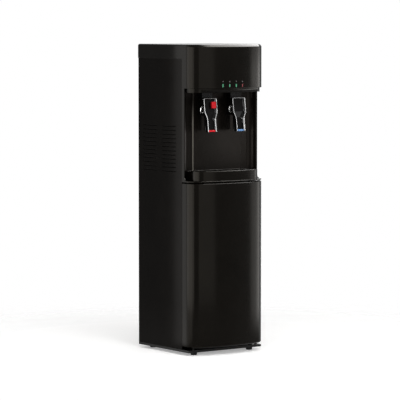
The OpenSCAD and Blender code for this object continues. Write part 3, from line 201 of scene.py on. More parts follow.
bay_fill.location = (0.465, -0.609, 0.705)
bay_corner = Vector((0.085, -0.081, 0.75))
bay_fill.rotation_euler = (bay_corner - bay_fill.location).to_track_quat("-Z", "Y").to_euler()
near_panel = softbox("near_panel", -90, 0, 0.6, 0.50, 1.24, 2.4)
near_panel.location = (-0.437, -0.054, 0.62)
near_panel.rotation_euler = (math.radians(90), 0, math.radians(-125.8))


# Base and its feet: a tray moulded in black plastic, on four screwed rubber feet. The tray carries
# the compressor, the side panels and the door's lower hinge.
def coat(name, colour, rough, spec=0.5, metal=0.0, grain=0.0006, depth=0.02, patchy=0.25,
         worn=0.08, stretch=(1, 1, 1), tint=(1, 1, 1)):
    """A finish with uneven tone, a grain of that size in metres and slightly varied gloss."""
    made = bpy.data.materials.new(name)
    made.use_nodes = True
    made.diffuse_color = (*colour, 1)
    tree = made.node_tree
    bsdf = tree.nodes["Principled BSDF"]
    bsdf.inputs["Metallic"].default_value = metal
    bsdf.inputs["Specular IOR Level"].default_value = spec
    bsdf.inputs["Specular Tint"].default_value = (*tint, 1)
    place = node_of(tree, "ShaderNodeTexCoord")
    turned = node_of(tree, "ShaderNodeMapping")
    turned.inputs["Scale"].default_value = stretch
    tree.links.new(place.outputs["Object"], turned.inputs["Vector"])
    tone = node_of(tree, "ShaderNodeTexNoise", Scale=9.0, Detail=4.0, Roughness=0.6)
    tree.links.new(turned.outputs[0], tone.inputs["Vector"])
    ramp = node_of(tree, "ShaderNodeValToRGB")
    dark = [c * (1 - patchy) for c in colour]
    light = [min(1.0, c * (1 + patchy) + 0.002 * patchy) for c in colour]
    for element, position, shade in zip(ramp.color_ramp.elements, (0.3, 0.7), (dark, light)):
        element.position, element.color = position, (*shade, 1)
    tree.links.new(tone.outputs["Fac"], ramp.inputs["Fac"])
    tree.links.new(ramp.outputs["Color"], bsdf.inputs["Base Color"])
    fine = node_of(tree, "ShaderNodeTexNoise", Scale=1 / grain, Detail=3.0, Roughness=0.55)
    tree.links.new(turned.outputs[0], fine.inputs["Vector"])
    smear = node_of(tree, "ShaderNodeTexNoise", Scale=22.0, Detail=5.0, Roughness=0.7)
    tree.links.new(turned.outputs[0], smear.inputs["Vector"])
    gloss = node_of(tree, "ShaderNodeMapRange")
    gloss.inputs["From Min"].default_value = 0.25
    gloss.inputs["From Max"].default_value = 0.75
    gloss.inputs["To Min"].default_value = max(0.02, rough - worn)
    gloss.inputs["To Max"].default_value = min(1.0, rough + worn)
    tree.links.new(smear.outputs["Fac"], gloss.inputs["Value"])
    tree.links.new(gloss.outputs["Result"], bsdf.inputs["Roughness"])
    bump = node_of(tree, "ShaderNodeBump", Strength=1.0, Distance=grain * depth)
    tree.links.new(fine.outputs["Fac"], bump.inputs["Height"])
    tree.links.new(bump.outputs["Normal"], bsdf.inputs["Normal"])
    return made


def dress(material, *names):
    """Gives carried nodes a finish in place of their plain one."""
    for name in names:
        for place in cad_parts[name].material_slots:
            place.material = material


base_plastic = coat("base_plastic", (0.0045, 0.0042, 0.0040), 0.42, 0.12, depth=0.06)
dress(base_plastic, "base_tray")
foot_rubber = coat("foot_rubber", (0.010, 0.010, 0.010), 0.75, 0.25, grain=0.0009, depth=0.12)
dress(foot_rubber, "levelling_feet")


# Side panels, rear panel, tank shelf and bulkhead: pressed sheet steel with a satin black powder
# coat, whose fine orange peel and faint handling marks show in glancing light. Flanges at the
# panels' edges take the rear panel's screws.
black_steel = coat("black_powder_coat", (0.0020, 0.0016, 0.0012), 0.20, 0.028, depth=0.012,
                   worn=0.03, tint=(1.0, 0.86, 0.76))
dress(black_steel, "left_side_panel", "right_side_panel", "rear_panel", "tank_shelf",
      "bay_partition")


# Louvre hoods: each slot of a side panel is backed by a hood pressed inwards out of the same
# sheet, nearly flush at its upper edge, drawn in over its lower third, and run out round at both
# ends. Two columns of twelve to a side.
def repeat_tree(name):
    """Geometry Nodes: the piece's own mesh set out in rows and columns, then made real."""
    tree = bpy.data.node_groups.new(name, "GeometryNodeTree")
    tree.interface.new_socket("Geometry", in_out="INPUT", socket_type="NodeSocketGeometry")
    for label, kind in (("Columns", "Int"), ("Rows", "Int"), ("First place", "Vector"),
                        ("Column step", "Vector"), ("Row step", "Vector"), ("Finish", "Material")):
        tree.interface.new_socket(label, in_out="INPUT", socket_type="NodeSocket" + kind)
    tree.interface.new_socket("Geometry", in_out="OUTPUT", socket_type="NodeSocketGeometry")
    given = tree.nodes.new("NodeGroupInput")
    row = node_of(tree, "GeometryNodeMeshLine", mode="OFFSET")
    tree.links.new(given.outputs["Columns"], row.inputs["Count"])
    tree.links.new(given.outputs["Column step"], row.inputs["Offset"])
    column = node_of(tree, "GeometryNodeMeshLine", mode="OFFSET")
    tree.links.new(given.outputs["Rows"], column.inputs["Count"])
    tree.links.new(given.outputs["First place"], column.inputs["Start Location"])
    tree.links.new(given.outputs["Row step"], column.inputs["Offset"])
    rows = node_of(tree, "GeometryNodeInstanceOnPoints")
    tree.links.new(column.outputs[0], rows.inputs["Points"])
    tree.links.new(row.outputs[0], rows.inputs["Instance"])
    places = node_of(tree, "GeometryNodeRealizeInstances")
    tree.links.new(rows.outputs[0], places.inputs[0])
    pieces = node_of(tree, "GeometryNodeInstanceOnPoints")
    tree.links.new(places.outputs[0], pieces.inputs["Points"])
    tree.links.new(given.outputs["Geometry"], pieces.inputs["Instance"])
    finish_tree(tree, given, pieces)
    return tree


def finish_tree(tree, given, last):
    """Ends a tree: instances made real, the finish set, the geometry given out."""
    real = node_of(tree, "GeometryNodeRealizeInstances")
    tree.links.new(last.outputs[0], real.inputs[0])
    painted = node_of(tree, "GeometryNodeSetMaterial")
    tree.links.new(real.outputs[0], painted.inputs[0])
    tree.links.new(given.outputs["Finish"], painted.inputs["Material"])
    made = tree.nodes.new("NodeGroupOutput")
    tree.links.new(painted.outputs[0], made.inputs[0])


def run_tree(tree, name, work, **values):
    """An object made by the tree from a seed mesh, with the tree's named inputs set."""
    mesh = bpy.data.meshes.new(name)
    if work:
        work.to_mesh(mesh)
        work.free()
    piece = bpy.data.objects.new(name, mesh)
    bpy.context.scene.collection.objects.link(piece)
    nodes = piece.modifiers.new("nodes", "NODES")
    nodes.node_group = tree
    for entry in tree.interface.items_tree:
        key = entry.name.replace(" ", "_")
        if entry.in_out == "INPUT" and key in values:
            nodes[entry.identifier] = values[key]
    return piece


def settle(piece, body, finish, *nodes, slot=None, sharp=32):
    """Applies a piece's modifiers, smooths it, and puts it in its nodes' place."""
    made = piece.evaluated_get(bpy.context.evaluated_depsgraph_get())
    mesh = bpy.data.meshes.new_from_object(made)
    piece.modifiers.clear()
    piece.data = mesh
    mesh.shade_smooth()
    mesh.set_sharp_from_angle(angle=math.radians(sharp))
    weigh = piece.modifiers.new("weigh", "WEIGHTED_NORMAL")
    weigh.keep_sharp = True
    made = piece.evaluated_get(bpy.context.evaluated_depsgraph_get())
    mesh = bpy.data.meshes.new_from_object(made)
    piece.modifiers.clear()
    piece.data = mesh
    mesh.materials.clear()
    mesh.materials.append(finish)
    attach(piece, body)
    if nodes:
        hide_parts(*nodes)
    return piece


hood_length = 82.0
hood_overlap = 0.2
hood_sheet = 0.3
hood_section = [(0.25, 4.05), (0.45, 3.2), (0.75, 2.2), (1.35, 1.2), (2.5, 0.35), (3.5, -0.45)]
hood_run_out = 8.2


def hood_seed(side):
    """One hood's shell in mm, its slot's lower rear corner at the origin."""
    work = bmesh.new()
    starts = [-hood_overlap, 0.8, 2.0, 3.6, 5.6, 8.0]
    lengths = starts + [hood_length / 2] + [hood_length - u for u in reversed(starts)]
    flush = hood_section[0][0]
    shells = []
    for back in (0.0, hood_sheet):
        shell = []
        for u in lengths:
            from_end = min(u + hood_overlap, hood_length + hood_overlap - u)
            drawn = 1.0 - max(0.0, 1.0 - from_end / hood_run_out) ** 2.4
            shell.append([work.verts.new((-side * (flush + (d - flush) * drawn + back) / 1000,
                                          u / 1000, z / 1000)) for d, z in hood_section])
        shells.append(shell)
    front, rear = shells
    last = len(hood_section) - 1
    for shell, inner in ((front, False), (rear, True)):
        for a, b in zip(shell, shell[1:]):
            for k in range(last):
                loop = (a[k], b[k], b[k + 1], a[k + 1])
                work.faces.new(tuple(reversed(loop)) if inner else loop)
    for i in range(len(lengths) - 1):
        work.faces.new((front[i][0], rear[i][0], rear[i + 1][0], front[i + 1][0]))
        work.faces.new((front[i][last], front[i + 1][last], rear[i + 1][last], rear[i][last]))
    for i in (0, len(lengths) - 1):
        for k in range(last):
            work.faces.new((front[i][k], front[i][k + 1], rear[i][k + 1], rear[i][k]))
    bmesh.ops.recalc_face_normals(work, faces=work.faces)
    return work


hood_tree = repeat_tree("louvre_hoods")
side_face_x = 0.1516
lowest_hood = (-0.054, 0.613)
hood_column_step = 0.112
hood_row_step = 0.01375
for side, name in ((-1, "left_louvre_hoods"), (1, "right_louvre_hoods")):
    hoods = run_tree(hood_tree, name, hood_seed(side), Columns=2, Rows=12,
                     First_place=(side * side_face_x, *lowest_hood),
                     Column_step=(0.0, hood_column_step, 0.0),
                     Row_step=(0.0, 0.0, hood_row_step), Finish=black_steel)
    settle(hoods, "cabinet", black_steel, slot="black_coated_steel", sharp=60)


# Compressor: two pressed steel shells welded to a can, under black enamel. It is bolted to the
# base through four rubber grommets that take up its shaking.
dress(coat("compressor_enamel", (0.008, 0.008, 0.009), 0.3, 0.35, depth=0.06), "compressor")
dress(foot_rubber, "compressor_grommets")


# Condenser: one steel tube bent in level passes across the rear panel, under black enamel. Its
# ends are soldered to the copper lines at the compressor.
condenser_enamel = coat("condenser_enamel", (0.008, 0.008, 0.008), 0.38, 0.3, depth=0.06)
dress(condenser_enamel, "condenser")


# Condenser wires and feet: straight steel rods resistance-welded across the passes, all enamelled
# together, and four pressed feet that hold them off the rear panel.
def rod_seed(length, radius):
    """An upright rod with rounded ends, its lower end at the origin, sizes in mm."""
    work = bmesh.new()
    profile = [(0.0, 0.0), (0.5, 0.1), (radius, 0.5), (radius, length - 0.5), (0.5, length - 0.1),
               (0.0, length)]
    count = 12
    rings = [[work.verts.new((r * math.cos(k * math.tau / count) / 1000,
                              r * math.sin(k * math.tau / count) / 1000, z / 1000))
              for k in range(count if r else 1)] for r, z in profile]
    for k in range(count):
        n = (k + 1) % count
        work.faces.new((rings[0][0], rings[1][n], rings[1][k]))
        work.faces.new((rings[-1][0], rings[-2][k], rings[-2][n]))
        for one, two in zip(rings[1:-1], rings[2:-1]):
            work.faces.new((one[k], one[n], two[n], two[k]))
    bmesh.ops.recalc_face_normals(work, faces=work.faces)
    return work


def foot_seed(width, depth, height):
    """A pressed foot with broken edges, its inner face's middle at the origin, in metres."""
    work = bmesh.new()
    bmesh.ops.create_cube(work, size=1.0)
    for vert in work.verts:
        vert.co = Vector((vert.co.x * width, (vert.co.y + 0.5) * depth, vert.co.z * height))
    bmesh.ops.bevel(work, geom=work.edges[:], offset=0.0007, segments=2, affect="EDGES",
                    profile=0.5)
    bmesh.ops.recalc_face_normals(work, faces=work.faces)
    return work


low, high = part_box("condenser_wires")
rod_radius = 0.0008
rod_step = 0.008
rear_face_y = 0.145
wires = run_tree(repeat_tree("condenser_rods"), "condenser_rods",
                 rod_seed((high[2] - low[2]) * 1000, rod_radius * 1000), Columns=23, Rows=1,
                 First_place=(low[0] + rod_radius, high[1] - rod_radius, low[2]),
                 Column_step=(rod_step, 0.0, 0.0), Row_step=(0.0, 0.0, 0.0),
                 Finish=condenser_enamel)
settle(wires, "cabinet", condenser_enamel, "condenser_wires", slot="condenser_black", sharp=60)
foot_width = 0.006
foot_height = 0.014
foot_depth = high[1] - rod_radius - rear_face_y
first_foot_x = low[0] + 0.0168
foot_from_end = 0.048
feet = run_tree(repeat_tree("condenser_feet"), "condenser_feet",
                foot_seed(foot_width, foot_depth, foot_height), Columns=2, Rows=2,
                First_place=(first_foot_x, rear_face_y, low[2] + foot_from_end),
                Column_step=(18 * rod_step, 0.0, 0.0),
                Row_step=(0.0, 0.0, high[2] - low[2] - 2 * foot_from_end),
                Finish=condenser_enamel)
settle(feet, "cabinet", condenser_enamel, slot="condenser_black", sharp=60)


# Tanks: drawn stainless steel shells with welded fittings, standing side by side on the shelf.
# Their faint upright streaks come from drawing and brushing.
stainless = coat("stainless", (0.52, 0.52, 0.51), 0.28, 0.5, 1.0, depth=0.01, patchy=0.1,
                 stretch=(1, 1, 9))
dress(stainless, "cold_tank", "hot_tank")


# Evaporator: one length of copper tube wound round the cold tank, its turns drawn tight to the
# shell, and soldered to the suction and capillary lines, which are copper too.
def coil_tree(name):
    """Geometry Nodes: a round wire swept along a helix, turned and set in its place."""
    tree = bpy.data.node_groups.new(name, "GeometryNodeTree")
    for label, kind in (("Turns", "Float"), ("Radius", "Float"), ("Length", "Float"),
                        ("Wire radius", "Float"), ("Place", "Vector"), ("Turn", "Vector"),
                        ("Right hand", "Bool"), ("Finish", "Material")):
        tree.interface.new_socket(label, in_out="INPUT", socket_type="NodeSocket" + kind)
    tree.interface.new_socket("Geometry", in_out="OUTPUT", socket_type="NodeSocketGeometry")
    given = tree.nodes.new("NodeGroupInput")
    helix = node_of(tree, "GeometryNodeCurveSpiral")
    helix.inputs["Resolution"].default_value = 32
    tree.links.new(given.outputs["Right hand"], helix.inputs["Reverse"])
    for label, socket in (("Turns", "Rotations"), ("Radius", "Start Radius"),
                          ("Radius", "End Radius"), ("Length", "Height")):
        tree.links.new(given.outputs[label], helix.inputs[socket])
    wire = node_of(tree, "GeometryNodeCurvePrimitiveCircle")
    wire.inputs["Resolution"].default_value = 12
    tree.links.new(given.outputs["Wire radius"], wire.inputs["Radius"])
    swept = node_of(tree, "GeometryNodeCurveToMesh")
    tree.links.new(helix.outputs[0], swept.inputs["Curve"])
    tree.links.new(wire.outputs[0], swept.inputs["Profile Curve"])
    swept.inputs["Fill Caps"].default_value = True
    moved = node_of(tree, "GeometryNodeTransform")
    tree.links.new(swept.outputs[0], moved.inputs["Geometry"])
    tree.links.new(given.outputs["Place"], moved.inputs["Translation"])
    tree.links.new(given.outputs["Turn"], moved.inputs["Rotation"])
    finish_tree(tree, given, moved)
    return tree


copper = coat("copper", (0.62, 0.27, 0.15), 0.3, 0.5, 1.0, depth=0.02, patchy=0.2)
dress(copper, "refrigerant_lines")
low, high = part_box("evaporator_coil")
tube = 0.003
tank_turns = 8.0
evaporator = run_tree(coil_tree("evaporator"), "evaporator_tube", None, Turns=tank_turns,
                      Radius=(high[0] - low[0]) / 2 - tube, Length=high[2] - low[2] - 2 * tube,
                      Wire_radius=tube,
                      Place=((low[0] + high[0]) / 2, (low[1] + high[1]) / 2, low[2] + tube),
                      Turn=(0.0, 0.0, 0.0), Right_hand=True, Finish=copper)
settle(evaporator, "cabinet", copper, "evaporator_coil", slot="copper", sharp=60)


# Insulation and heater: moulded foam cups round both tanks, and a metal-sheathed heater band
# clamped round the hot one.
grey_foam = coat("grey_foam", (0.60, 0.58, 0.53), 0.9, 0.2, grain=0.0025, depth=0.25, patchy=0.08)
dress(grey_foam, "cold_insulation", "hot_insulation")
dress(coat("heater_metal", (0.36, 0.25, 0.14), 0.4, 0.5, 1.0, patchy=0.2), "heater_band")


# Water side: white moulded inlet, manifold, cartridges, drain and tap fittings, joined by milky
# tubing that is pushed into their quick connections. The solenoid valve sits in the same line.
white_plastic = coat("white_plastic", (0.72, 0.72, 0.69), 0.4, 0.45, depth=0.04, patchy=0.05)
dress(white_plastic, "filter_manifold", "sediment_filter", "carbon_filter", "polishing_filter",
      "inlet_fitting", "tap_back_nuts", "drain_outlet", "hot_valve_plunger", "cold_valve_plunger")
dress(coat("tubing", (0.66, 0.68, 0.70), 0.3, 0.4, patchy=0.05), "water_lines", "solenoid_valve")


# Power module and drain cap: black mouldings at the rear. The module snaps into the rear panel and
# carries the appliance inlet and two rockers, red for hot and green for cold.
dress(coat("switch_black", (0.010, 0.010, 0.010), 0.4, 0.3), "power_inlet", "drain_cap")
dress(coat("rocker_red", (0.45, 0.02, 0.02), 0.35, 0.4), "hot_switch_rocker")
dress(coat("rocker_green", (0.03, 0.26, 0.08), 0.35, 0.4), "cold_switch_rocker")


# Rear screws: eight zinc-plated pan heads with a cross recess, driven through the rear panel into
# the side panels' flanges.
zinc = coat("zinc_plate", (0.42, 0.42, 0.41), 0.34, 0.5, 1.0, depth=0.03, patchy=0.15)


def screw_seed():
    """A pan head on its shank in mm, its seat's middle at the origin and its axis along Y."""
    work = bmesh.new()
    count = 32
    profile = [(0.0, -6.2), (1.0, -6.0), (1.5, -5.4), (1.5, 0.0), (3.35, 0.0), (3.5, 0.15),
               (3.5, 0.75), (3.3, 1.25), (2.8, 1.7), (2.1, 2.0)]

    def ring(radii, y):
        return [work.verts.new((r * math.cos(k * math.tau / count) / 1000, y / 1000,
                                r * math.sin(k * math.tau / count) / 1000))
                for k, r in enumerate(radii)]

    tip = work.verts.new((0, profile[0][1] / 1000, 0))
    rings = [ring([r] * count, y) for r, y in profile[1:]]
    arm = [1.95, 1.72, 1.0, 0.85, 0.62, 0.85, 1.0, 1.72] * 4
    lip = ring(arm, 2.05)
    foot = ring([0.7 * r for r in arm], 0.85)
    middle = work.verts.new((0, 0.0006, 0))
    for k in range(count):
        n = (k + 1) % count
        work.faces.new((tip, rings[0][k], rings[0][n]))
        for one, two in zip(rings, rings[1:]):
            work.faces.new((one[k], two[k], two[n], one[n]))
        work.faces.new((rings[-1][k], lip[k], lip[n], rings[-1][n]))
        work.faces.new((lip[k], foot[k], foot[n], lip[n]))
        work.faces.new((foot[k], middle, foot[n]))
    bmesh.ops.recalc_face_normals(work, faces=work.faces)
    return work


screw_x = 0.1444
lowest_screw_z = 0.078
screw_span_z = 0.874
screws = run_tree(repeat_tree("rear_screws"), "rear_screws", screw_seed(), Columns=2, Rows=4,
                  First_place=(-screw_x, rear_face_y, lowest_screw_z),
                  Column_step=(2 * screw_x, 0.0, 0.0), Row_step=(0.0, 0.0, screw_span_z / 3),
                  Finish=zinc)
settle(screws, "cabinet", zinc, "cabinet_screws", slot="zinc_steel", sharp=40)


# Bay wall and tap panel: the bay's rear wall and the raised panel that carries the taps, moulded
# in black with a finer texture than the front, and screwed behind the front moulding. The panel's
# left upright edge carries a painted highlight, a pale line that fades out towards the top as
# painted shade from the head.
def soften(node, body, finish, radius, slot, share=None, steps=2, angle=24, clamp=True):
    """A joined copy of a node's mesh with its sharp edges rounded, in place of the node."""
    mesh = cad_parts[node].data.copy()
    mesh.materials.clear()
    work = bmesh.new()
    work.from_mesh(mesh)
    bmesh.ops.remove_doubles(work, verts=work.verts, dist=2e-6)
    bmesh.ops.dissolve_limit(work, angle_limit=math.radians(0.3), verts=work.verts,
                             edges=work.edges)
    work.normal_update()
    weight = work.edges.layers.float.new("bevel_weight_edge")
    for edge in work.edges:
        if len(edge.link_faces) == 2 and edge.calc_face_angle() > math.radians(angle):
            middle = (edge.verts[0].co + edge.verts[1].co) / 2
            facing = edge.link_faces[0].normal + edge.link_faces[1].normal
            edge[weight] = share(middle, facing) if share else 1.0
    work.to_mesh(mesh)
    work.free()
    piece = bpy.data.objects.new(node + "_moulding", mesh)
    bpy.context.scene.collection.objects.link(piece)
    edge = piece.modifiers.new("edge", "BEVEL")
    edge.width, edge.segments, edge.limit_method = radius, steps, "WEIGHT"
    edge.use_clamp_overlap = clamp
    return settle(piece, body, finish, node, slot=slot)


bay_look = dict(colour=(0.0026, 0.0021, 0.0017), rough=0.26, spec=0.05, worn=0.04,
                tint=(1.0, 0.88, 0.78))
bay_satin = coat("bay_satin", **bay_look)
panel_satin = coat("panel_satin", **bay_look)
soften("bay_liner", "cabinet", bay_satin, 0.0006, "bay_plastic")
soften("tap_panel", "cabinet", panel_satin, 0.0006, "bay_plastic")
# Painted highlight: the panel's left upright edge is mixed towards pale grey, strongest low down
# and fading out upwards as painted shade under the head.
highlight_from_x, highlight_to_x = -0.0984, -0.1004
highlight_dim_z, highlight_full_z = 0.86, 0.76
tree = panel_satin.node_tree
place = node_of(tree, "ShaderNodeTexCoord")
parts = node_of(tree, "ShaderNodeSeparateXYZ")
tree.links.new(place.outputs["Object"], parts.inputs[0])
highlight_band = eased(tree, parts.outputs["X"], highlight_from_x, highlight_to_x)
lower = eased(tree, parts.outputs["Z"], highlight_dim_z, highlight_full_z, 0.12, 1.0)
painted_highlight = node_of(tree, "ShaderNodeMath", operation="MULTIPLY")
tree.links.new(highlight_band, painted_highlight.inputs[0])
tree.links.new(lower, painted_highlight.inputs[1])
highlight_mix = node_of(tree, "ShaderNodeMix", data_type="RGBA")
tone = tree.nodes["Principled BSDF"].inputs["Base Color"]
tree.links.new(tone.links[0].from_socket, highlight_mix.inputs["A"])
# The pale grey of the painted highlight.
highlight_mix.inputs["B"].default_value = (0.16, 0.15, 0.13, 1)
tree.links.new(painted_highlight.outputs[0], highlight_mix.inputs["Factor"])
tree.links.new(highlight_mix.outputs["Result"], tone)


# Taps: the black body with its spout, moulded in glass-filled plastic, pushed through the panel
# and held by the nut behind it.
tap_plastic = coat("tap_plastic", (0.0030, 0.0028, 0.0027), 0.22, 0.10, depth=0.02)
soften("hot_tap_body", "cabinet", tap_plastic, 0.0009, "paddle_plastic")
soften("cold_tap_body", "cabinet", tap_plastic, 0.0009, "paddle_plastic")


# Valve springs: hard-drawn steel wire wound to five turns, set between the tap's body and the
# plunger, with room in front for the plunger's travel.
spring_steel = coat("spring_wire", (0.45, 0.45, 0.44), 0.25, 0.5, 1.0)
spring_tree = coil_tree("valve_springs")
spring_turns = 5.0
spring_radius = 0.0052
plunger_room = 0.00175
wire = 0.00045
for node, name in (("hot_valve_spring", "hot_spring"), ("cold_valve_spring", "cold_spring")):
    low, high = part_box(node)
    spring = run_tree(spring_tree, name, None, Turns=spring_turns, Radius=spring_radius,
                      Length=high[1] - low[1] - 2 * wire - plunger_room, Wire_radius=wire,
                      Place=((low[0] + high[0]) / 2, high[1] - wire, (low[2] + high[2]) / 2),
                      Turn=(math.pi / 2, 0.0, 0.0), Right_hand=False, Finish=spring_steel)
    settle(spring, "cabinet", spring_steel, node, slot="spring_steel", sharp=60)


# Paddles: glossy black moulded levers with a recessed face, hung between the body's lugs on a
# zinc-plated steel pin.
paddle_plastic = coat("paddle_plastic", (0.0026, 0.0024, 0.0023), 0.14, 0.06, depth=0.01)
soften("hot_paddle", "hot_lever", paddle_plastic, 0.0006, "paddle_plastic")
soften("cold_paddle", "cold_lever", paddle_plastic, 0.0006, "paddle_plastic")
dress(zinc, "paddle_pivot_pins")


# Paddle rims: bright plated mouldings that clip into the paddle's edge, with walls that slope down
# to the recessed face, and a dished satin ring over each end of the pivot.
tap_x = 59.4
pivot_y = -110.0
pivot_z = 822.0
lever_slant = math.radians(-7.4)
rim_top_half = 26.5
rim_foot_half = 17.5
face_depth = -8.4
ring_seat = 23.4


def lever_point(side, x, y, z):
    """A point given in the lever's own frame, in mm from its pivot, set at the lever's slant."""
    return ((side * tap_x + x) / 1000,
            (pivot_y + y * math.cos(lever_slant) - z * math.sin(lever_slant)) / 1000,
            (pivot_z + y * math.sin(lever_slant) + z * math.cos(lever_slant)) / 1000)


def lever_half(z):
    """Half the rim's width at this height, drawn in by an easy curve below the pivot."""
    rise = min(1.0, max(0.0, (z + 36) / 32))
    widening = rim_top_half - rim_foot_half
    return rim_foot_half + widening * (0.5 - 0.5 * math.cos(math.pi * rise))


def rim_path():
    """The rim's centre line: up the left edge, over the top with round corners, down the right."""
    left = [(-lever_half(z), z) for z in [-76 + 4 * i for i in range(10)]]
    left += [(-lever_half(z), z) for z in [-36 + 2 * i for i in range(1, 17)]]
    left += [(-rim_top_half, z) for z in (4, 14, 24, 33)]
    corner = 4
    for a in range(15, 91, 15):
        left.append((-rim_top_half + corner - corner * math.cos(math.radians(a)),
                     33 + corner * math.sin(math.radians(a))))
    return left + [(-x, z) for x, z in reversed(left)]


def rim_floor(z):
    """How far back the recessed face lies at this height."""
    return face_depth if z > -8 else max(face_depth, min(-4.9, face_depth + 3.5 * (-8 - z) / 22))


def build_rim(side, name, body, finish, node):
    """A rim swept round its path, its two hub rings turned about the pivot."""
    path = rim_path()
    work = bmesh.new()
    rings = []
    for i, (x, z) in enumerate(path):
        ax, az = path[max(0, i - 1)]
        bx, bz = path[min(len(path) - 1, i + 1)]
        tx, tz = bx - ax, bz - az
        length = math.hypot(tx, tz)
        nx, nz = tz / length, -tx / length
        depth = rim_floor(z)
        slope = 1.2 + 0.22 * (depth + 15.5)
        section = [(0.05, -12.2), (0.0, -15.6), (0.35, -16.7), (1.0, -17.2), (1.7, -17.05),
                   (2.3, -16.4), (2.7, -15.6), (2.7 + 0.5 * slope, (depth - 15.6) / 2),
                   (2.7 + slope, depth), (1.8, depth), (1.75, -12.2)]
        rings.append([work.verts.new(lever_point(side, x + nx * inset, y, z + nz * inset))
                      for inset, y in section])
    count = len(rings[0])
    for below, above in zip(rings, rings[1:]):
        for k in range(count):
            n = (k + 1) % count
            work.faces.new((below[k], above[k], above[n], below[n]))
    work.faces.new(rings[0])
    work.faces.new(list(reversed(rings[-1])))
    ring_section = ((12.3, 0.02), (12.3, 1.3), (12.1, 1.7), (11.7, 1.85), (11.2, 1.75), (9.6, 0.8),
                    (8.4, 0.02))
    for end in (-1, 1):
        rows = []
        for a in range(0, 360, 7):
            c, d = math.cos(math.radians(a)), math.sin(math.radians(a))
            rows.append([work.verts.new(lever_point(side, end * (ring_seat + out), r * c, r * d))
                         for r, out in ring_section])
        rows.append(rows[0])
        for one, two in zip(rows, rows[1:]):
            for k in range(len(one) - 1):
                work.faces.new((one[k], two[k], two[k + 1], one[k + 1]))
            work.faces.new((one[-1], two[-1], two[0], one[0]))
    bmesh.ops.remove_doubles(work, verts=work.verts, dist=1e-7)
    bmesh.ops.recalc_face_normals(work, faces=work.faces)
    mesh = bpy.data.meshes.new(name)
    work.to_mesh(mesh)
    work.free()
    rim = bpy.data.objects.new(name, mesh)
    bpy.context.scene.collection.objects.link(rim)
    settle(rim, body, finish, node, slot="bright_trim", sharp=50)
    rim.data.materials.append(satin_plated)
    for face in rim.data.polygons:
        x, y, z = face.center * 1000
        if math.hypot(y - pivot_y, z - pivot_z) < 12.4 and abs(x - side * tap_x) > ring_seat - 0.1:
            face.material_index = 1
    return rim


satin_plated = coat("satin_plating", (0.46, 0.46, 0.45), 0.42, 0.5, 1.0, grain=0.0012,
                    depth=0.01, patchy=0.05, worn=0.05)
plated = coat("bright_plating", (0.20, 0.20, 0.20), 0.12, 0.5, 1.0, grain=0.0012, depth=0.002,
              patchy=0.05, worn=0.03)
build_rim(-1, "hot_rim", "hot_lever", plated, "hot_paddle_trim")
build_rim(1, "cold_rim", "cold_lever", plated, "cold_paddle_trim")


# Coloured tips and the child lock: red and blue plastic. The tips snap into the paddle's foot, and
# the lock slides in the hot paddle on a stem, which keeps its plain round root.
stem_x = -0.0466
stem_z = 0.8364
stem_reach = 0.0050


def lock_edge(m, n):
    """All but the stem's own edges are rounded."""
    return 1.0 if math.hypot(m.x - stem_x, m.z - stem_z) > stem_reach else 0.0


tap_red = coat("hot_red", (0.50, 0.010, 0.016), 0.34, 0.04, patchy=0.08)
soften("hot_paddle_tip", "hot_lever", tap_red, 0.0005, "hot_red")
soften("hot_lock_button", "hot_lock", tap_red, 0.0009, "hot_red", lock_edge, steps=3)
tap_blue = coat("cold_blue", (0.10, 0.22, 0.44), 0.34, 0.12, patchy=0.08)
soften("cold_paddle_tip", "cold_lever", tap_blue, 0.0005, "cold_blue")


# Front moulding: the head's face, the lip under it, the cheeks and the shelf in one glossy black
# moulding with a trace of warm brown, snapped to the side panels. The door, the tray and the top
# cover are of the same plastic.
black_gloss = coat("moulded_black", (0.0022, 0.0018, 0.0014), 0.15, 0.050, depth=0.006,
                   worn=0.03, tint=(1.0, 0.92, 0.80))
shelf_foot_z, shelf_top_z, head_foot_z = 0.5815, 0.5855, 0.894
front_begins_y = -0.1025


def fascia_edge(m, n):
    """Only the head's lower front edge and the shelf's two front edges are rounded."""
    off_by = min(abs(m.z - z) for z in (shelf_foot_z, shelf_top_z, head_foot_z))
    return 1.0 if off_by < 0.0003 and m.y < front_begins_y and n.y < -0.3 else 0.0


soften("front_fascia", "cabinet", black_gloss, 0.0013, "black_plastic", fascia_edge, steps=3,
       clamp=False)


# Indicators: coloured lenses pressed into the head's face, three green and one red, and the lamp
# board of green laminate screwed behind them.
dress(coat("lens_green", (0.045, 0.23, 0.12), 0.2, 0.4, patchy=0.1), "green_lenses")
dress(coat("lens_red", (0.14, 0.008, 0.012), 0.2, 0.4, patchy=0.1), "red_lens")
dress(coat("board_green", (0.02, 0.09, 0.035), 0.45, 0.4), "indicator_board")


# Marks over the lenses: four small plain rings printed in grey on the head's bowed face, each
# centred above its lens.
bow_radius = 467.0
bow_middle_y = 297.0
mark_places_x = (-40.5, -13.5, 13.5, 40.5)
mark_z = 916.5
mark_section = ((1.2, -0.05), (1.2, 0.05), (1.9, 0.05), (1.9, -0.05))


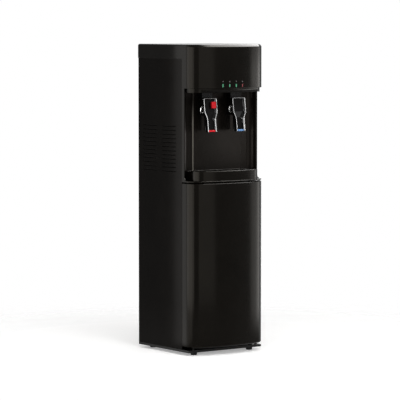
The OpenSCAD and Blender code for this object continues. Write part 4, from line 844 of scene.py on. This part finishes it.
def build_marks():
    """Four flat rings in mm, one above each lens, just proud of the face."""
    work = bmesh.new()
    count = 28
    for x in mark_places_x:
        rows = []
        for k in range(count):
            a = k * math.tau / count
            row = []
            for r, proud in mark_section:
                px, pz = x + r * math.cos(a), mark_z + r * math.sin(a)
                face_y = bow_middle_y - math.sqrt(bow_radius ** 2 - px ** 2)
                row.append(work.verts.new((px / 1000, (face_y - proud) / 1000, pz / 1000)))
            rows.append(row)
        for one, two in zip(rows, rows[1:] + rows[:1]):
            for k in range(4):
                n = (k + 1) % 4
                work.faces.new((one[k], two[k], two[n], one[n]))
    bmesh.ops.recalc_face_normals(work, faces=work.faces)
    mesh = bpy.data.meshes.new("indicator_marks")
    work.to_mesh(mesh)
    work.free()
    marks = bpy.data.objects.new("indicator_marks", mesh)
    bpy.context.scene.collection.objects.link(marks)
    grey_print = coat("grey_print", (0.16, 0.15, 0.15), 0.5, 0.2, patchy=0.15)
    settle(marks, "cabinet", grey_print, slot="white_plastic", sharp=40)


build_marks()


# Drip tray and grid: a thin-walled glossy basin that slides out over the shelf, and a moulded
# frame with bars that lies on the tray's ledge and lifts out.
tray_middle_y = -0.126
tray_front_y = -0.10
tray_rim_z = 0.617


def tray_edge(m, n):
    """The tray's front is round outside its thin wall and only broken inside it."""
    outward = n.x * m.x + n.y * (m.y - tray_middle_y) > 0
    return 1.0 if outward and m.z > tray_rim_z and m.y < tray_front_y else 0.3


soften("drip_tray", "tray", black_gloss, 0.0017, "black_plastic", tray_edge, steps=4)
dress(coat("grid_plastic", (0.006, 0.0055, 0.005), 0.2, 0.25, depth=0.01), "drip_grid")


# Door: the bowed outer skin, the flat inner panel snapped into it, zinc-plated hinge pins and
# lower bracket, and a magnet strip along the closing edge.
door_rim_y = -0.0925


def door_edge(m, n):
    """The skin's outer edges are rounder than those behind its rim."""
    return 1.0 if m.y < door_rim_y else 0.3


soften("door_skin", "door", black_gloss, 0.0024, "black_plastic", door_edge, steps=3)
dress(coat("door_inner_plastic", (0.010, 0.009, 0.009), 0.5, 0.25, depth=0.08), "door_inner_panel")
dress(zinc, "hinge_pins", "lower_hinge_bracket")
dress(coat("magnet_strip", (0.03, 0.03, 0.031), 0.7, 0.3), "door_magnet")


# Top cover: a glossy black moulding with a skirt that drops over the side panels and the front
# moulding, and clips to them. Its upper edge is well rounded.
cover_face_z = 1.036


def cover_edge(m, n):
    """The upper edge takes the full radius, the skirt's lower edges a third of it."""
    return 1.0 if m.z > cover_face_z else 0.3


soften("top_cover", "cabinet", black_gloss, 0.0024, "black_plastic", cover_edge, steps=4)
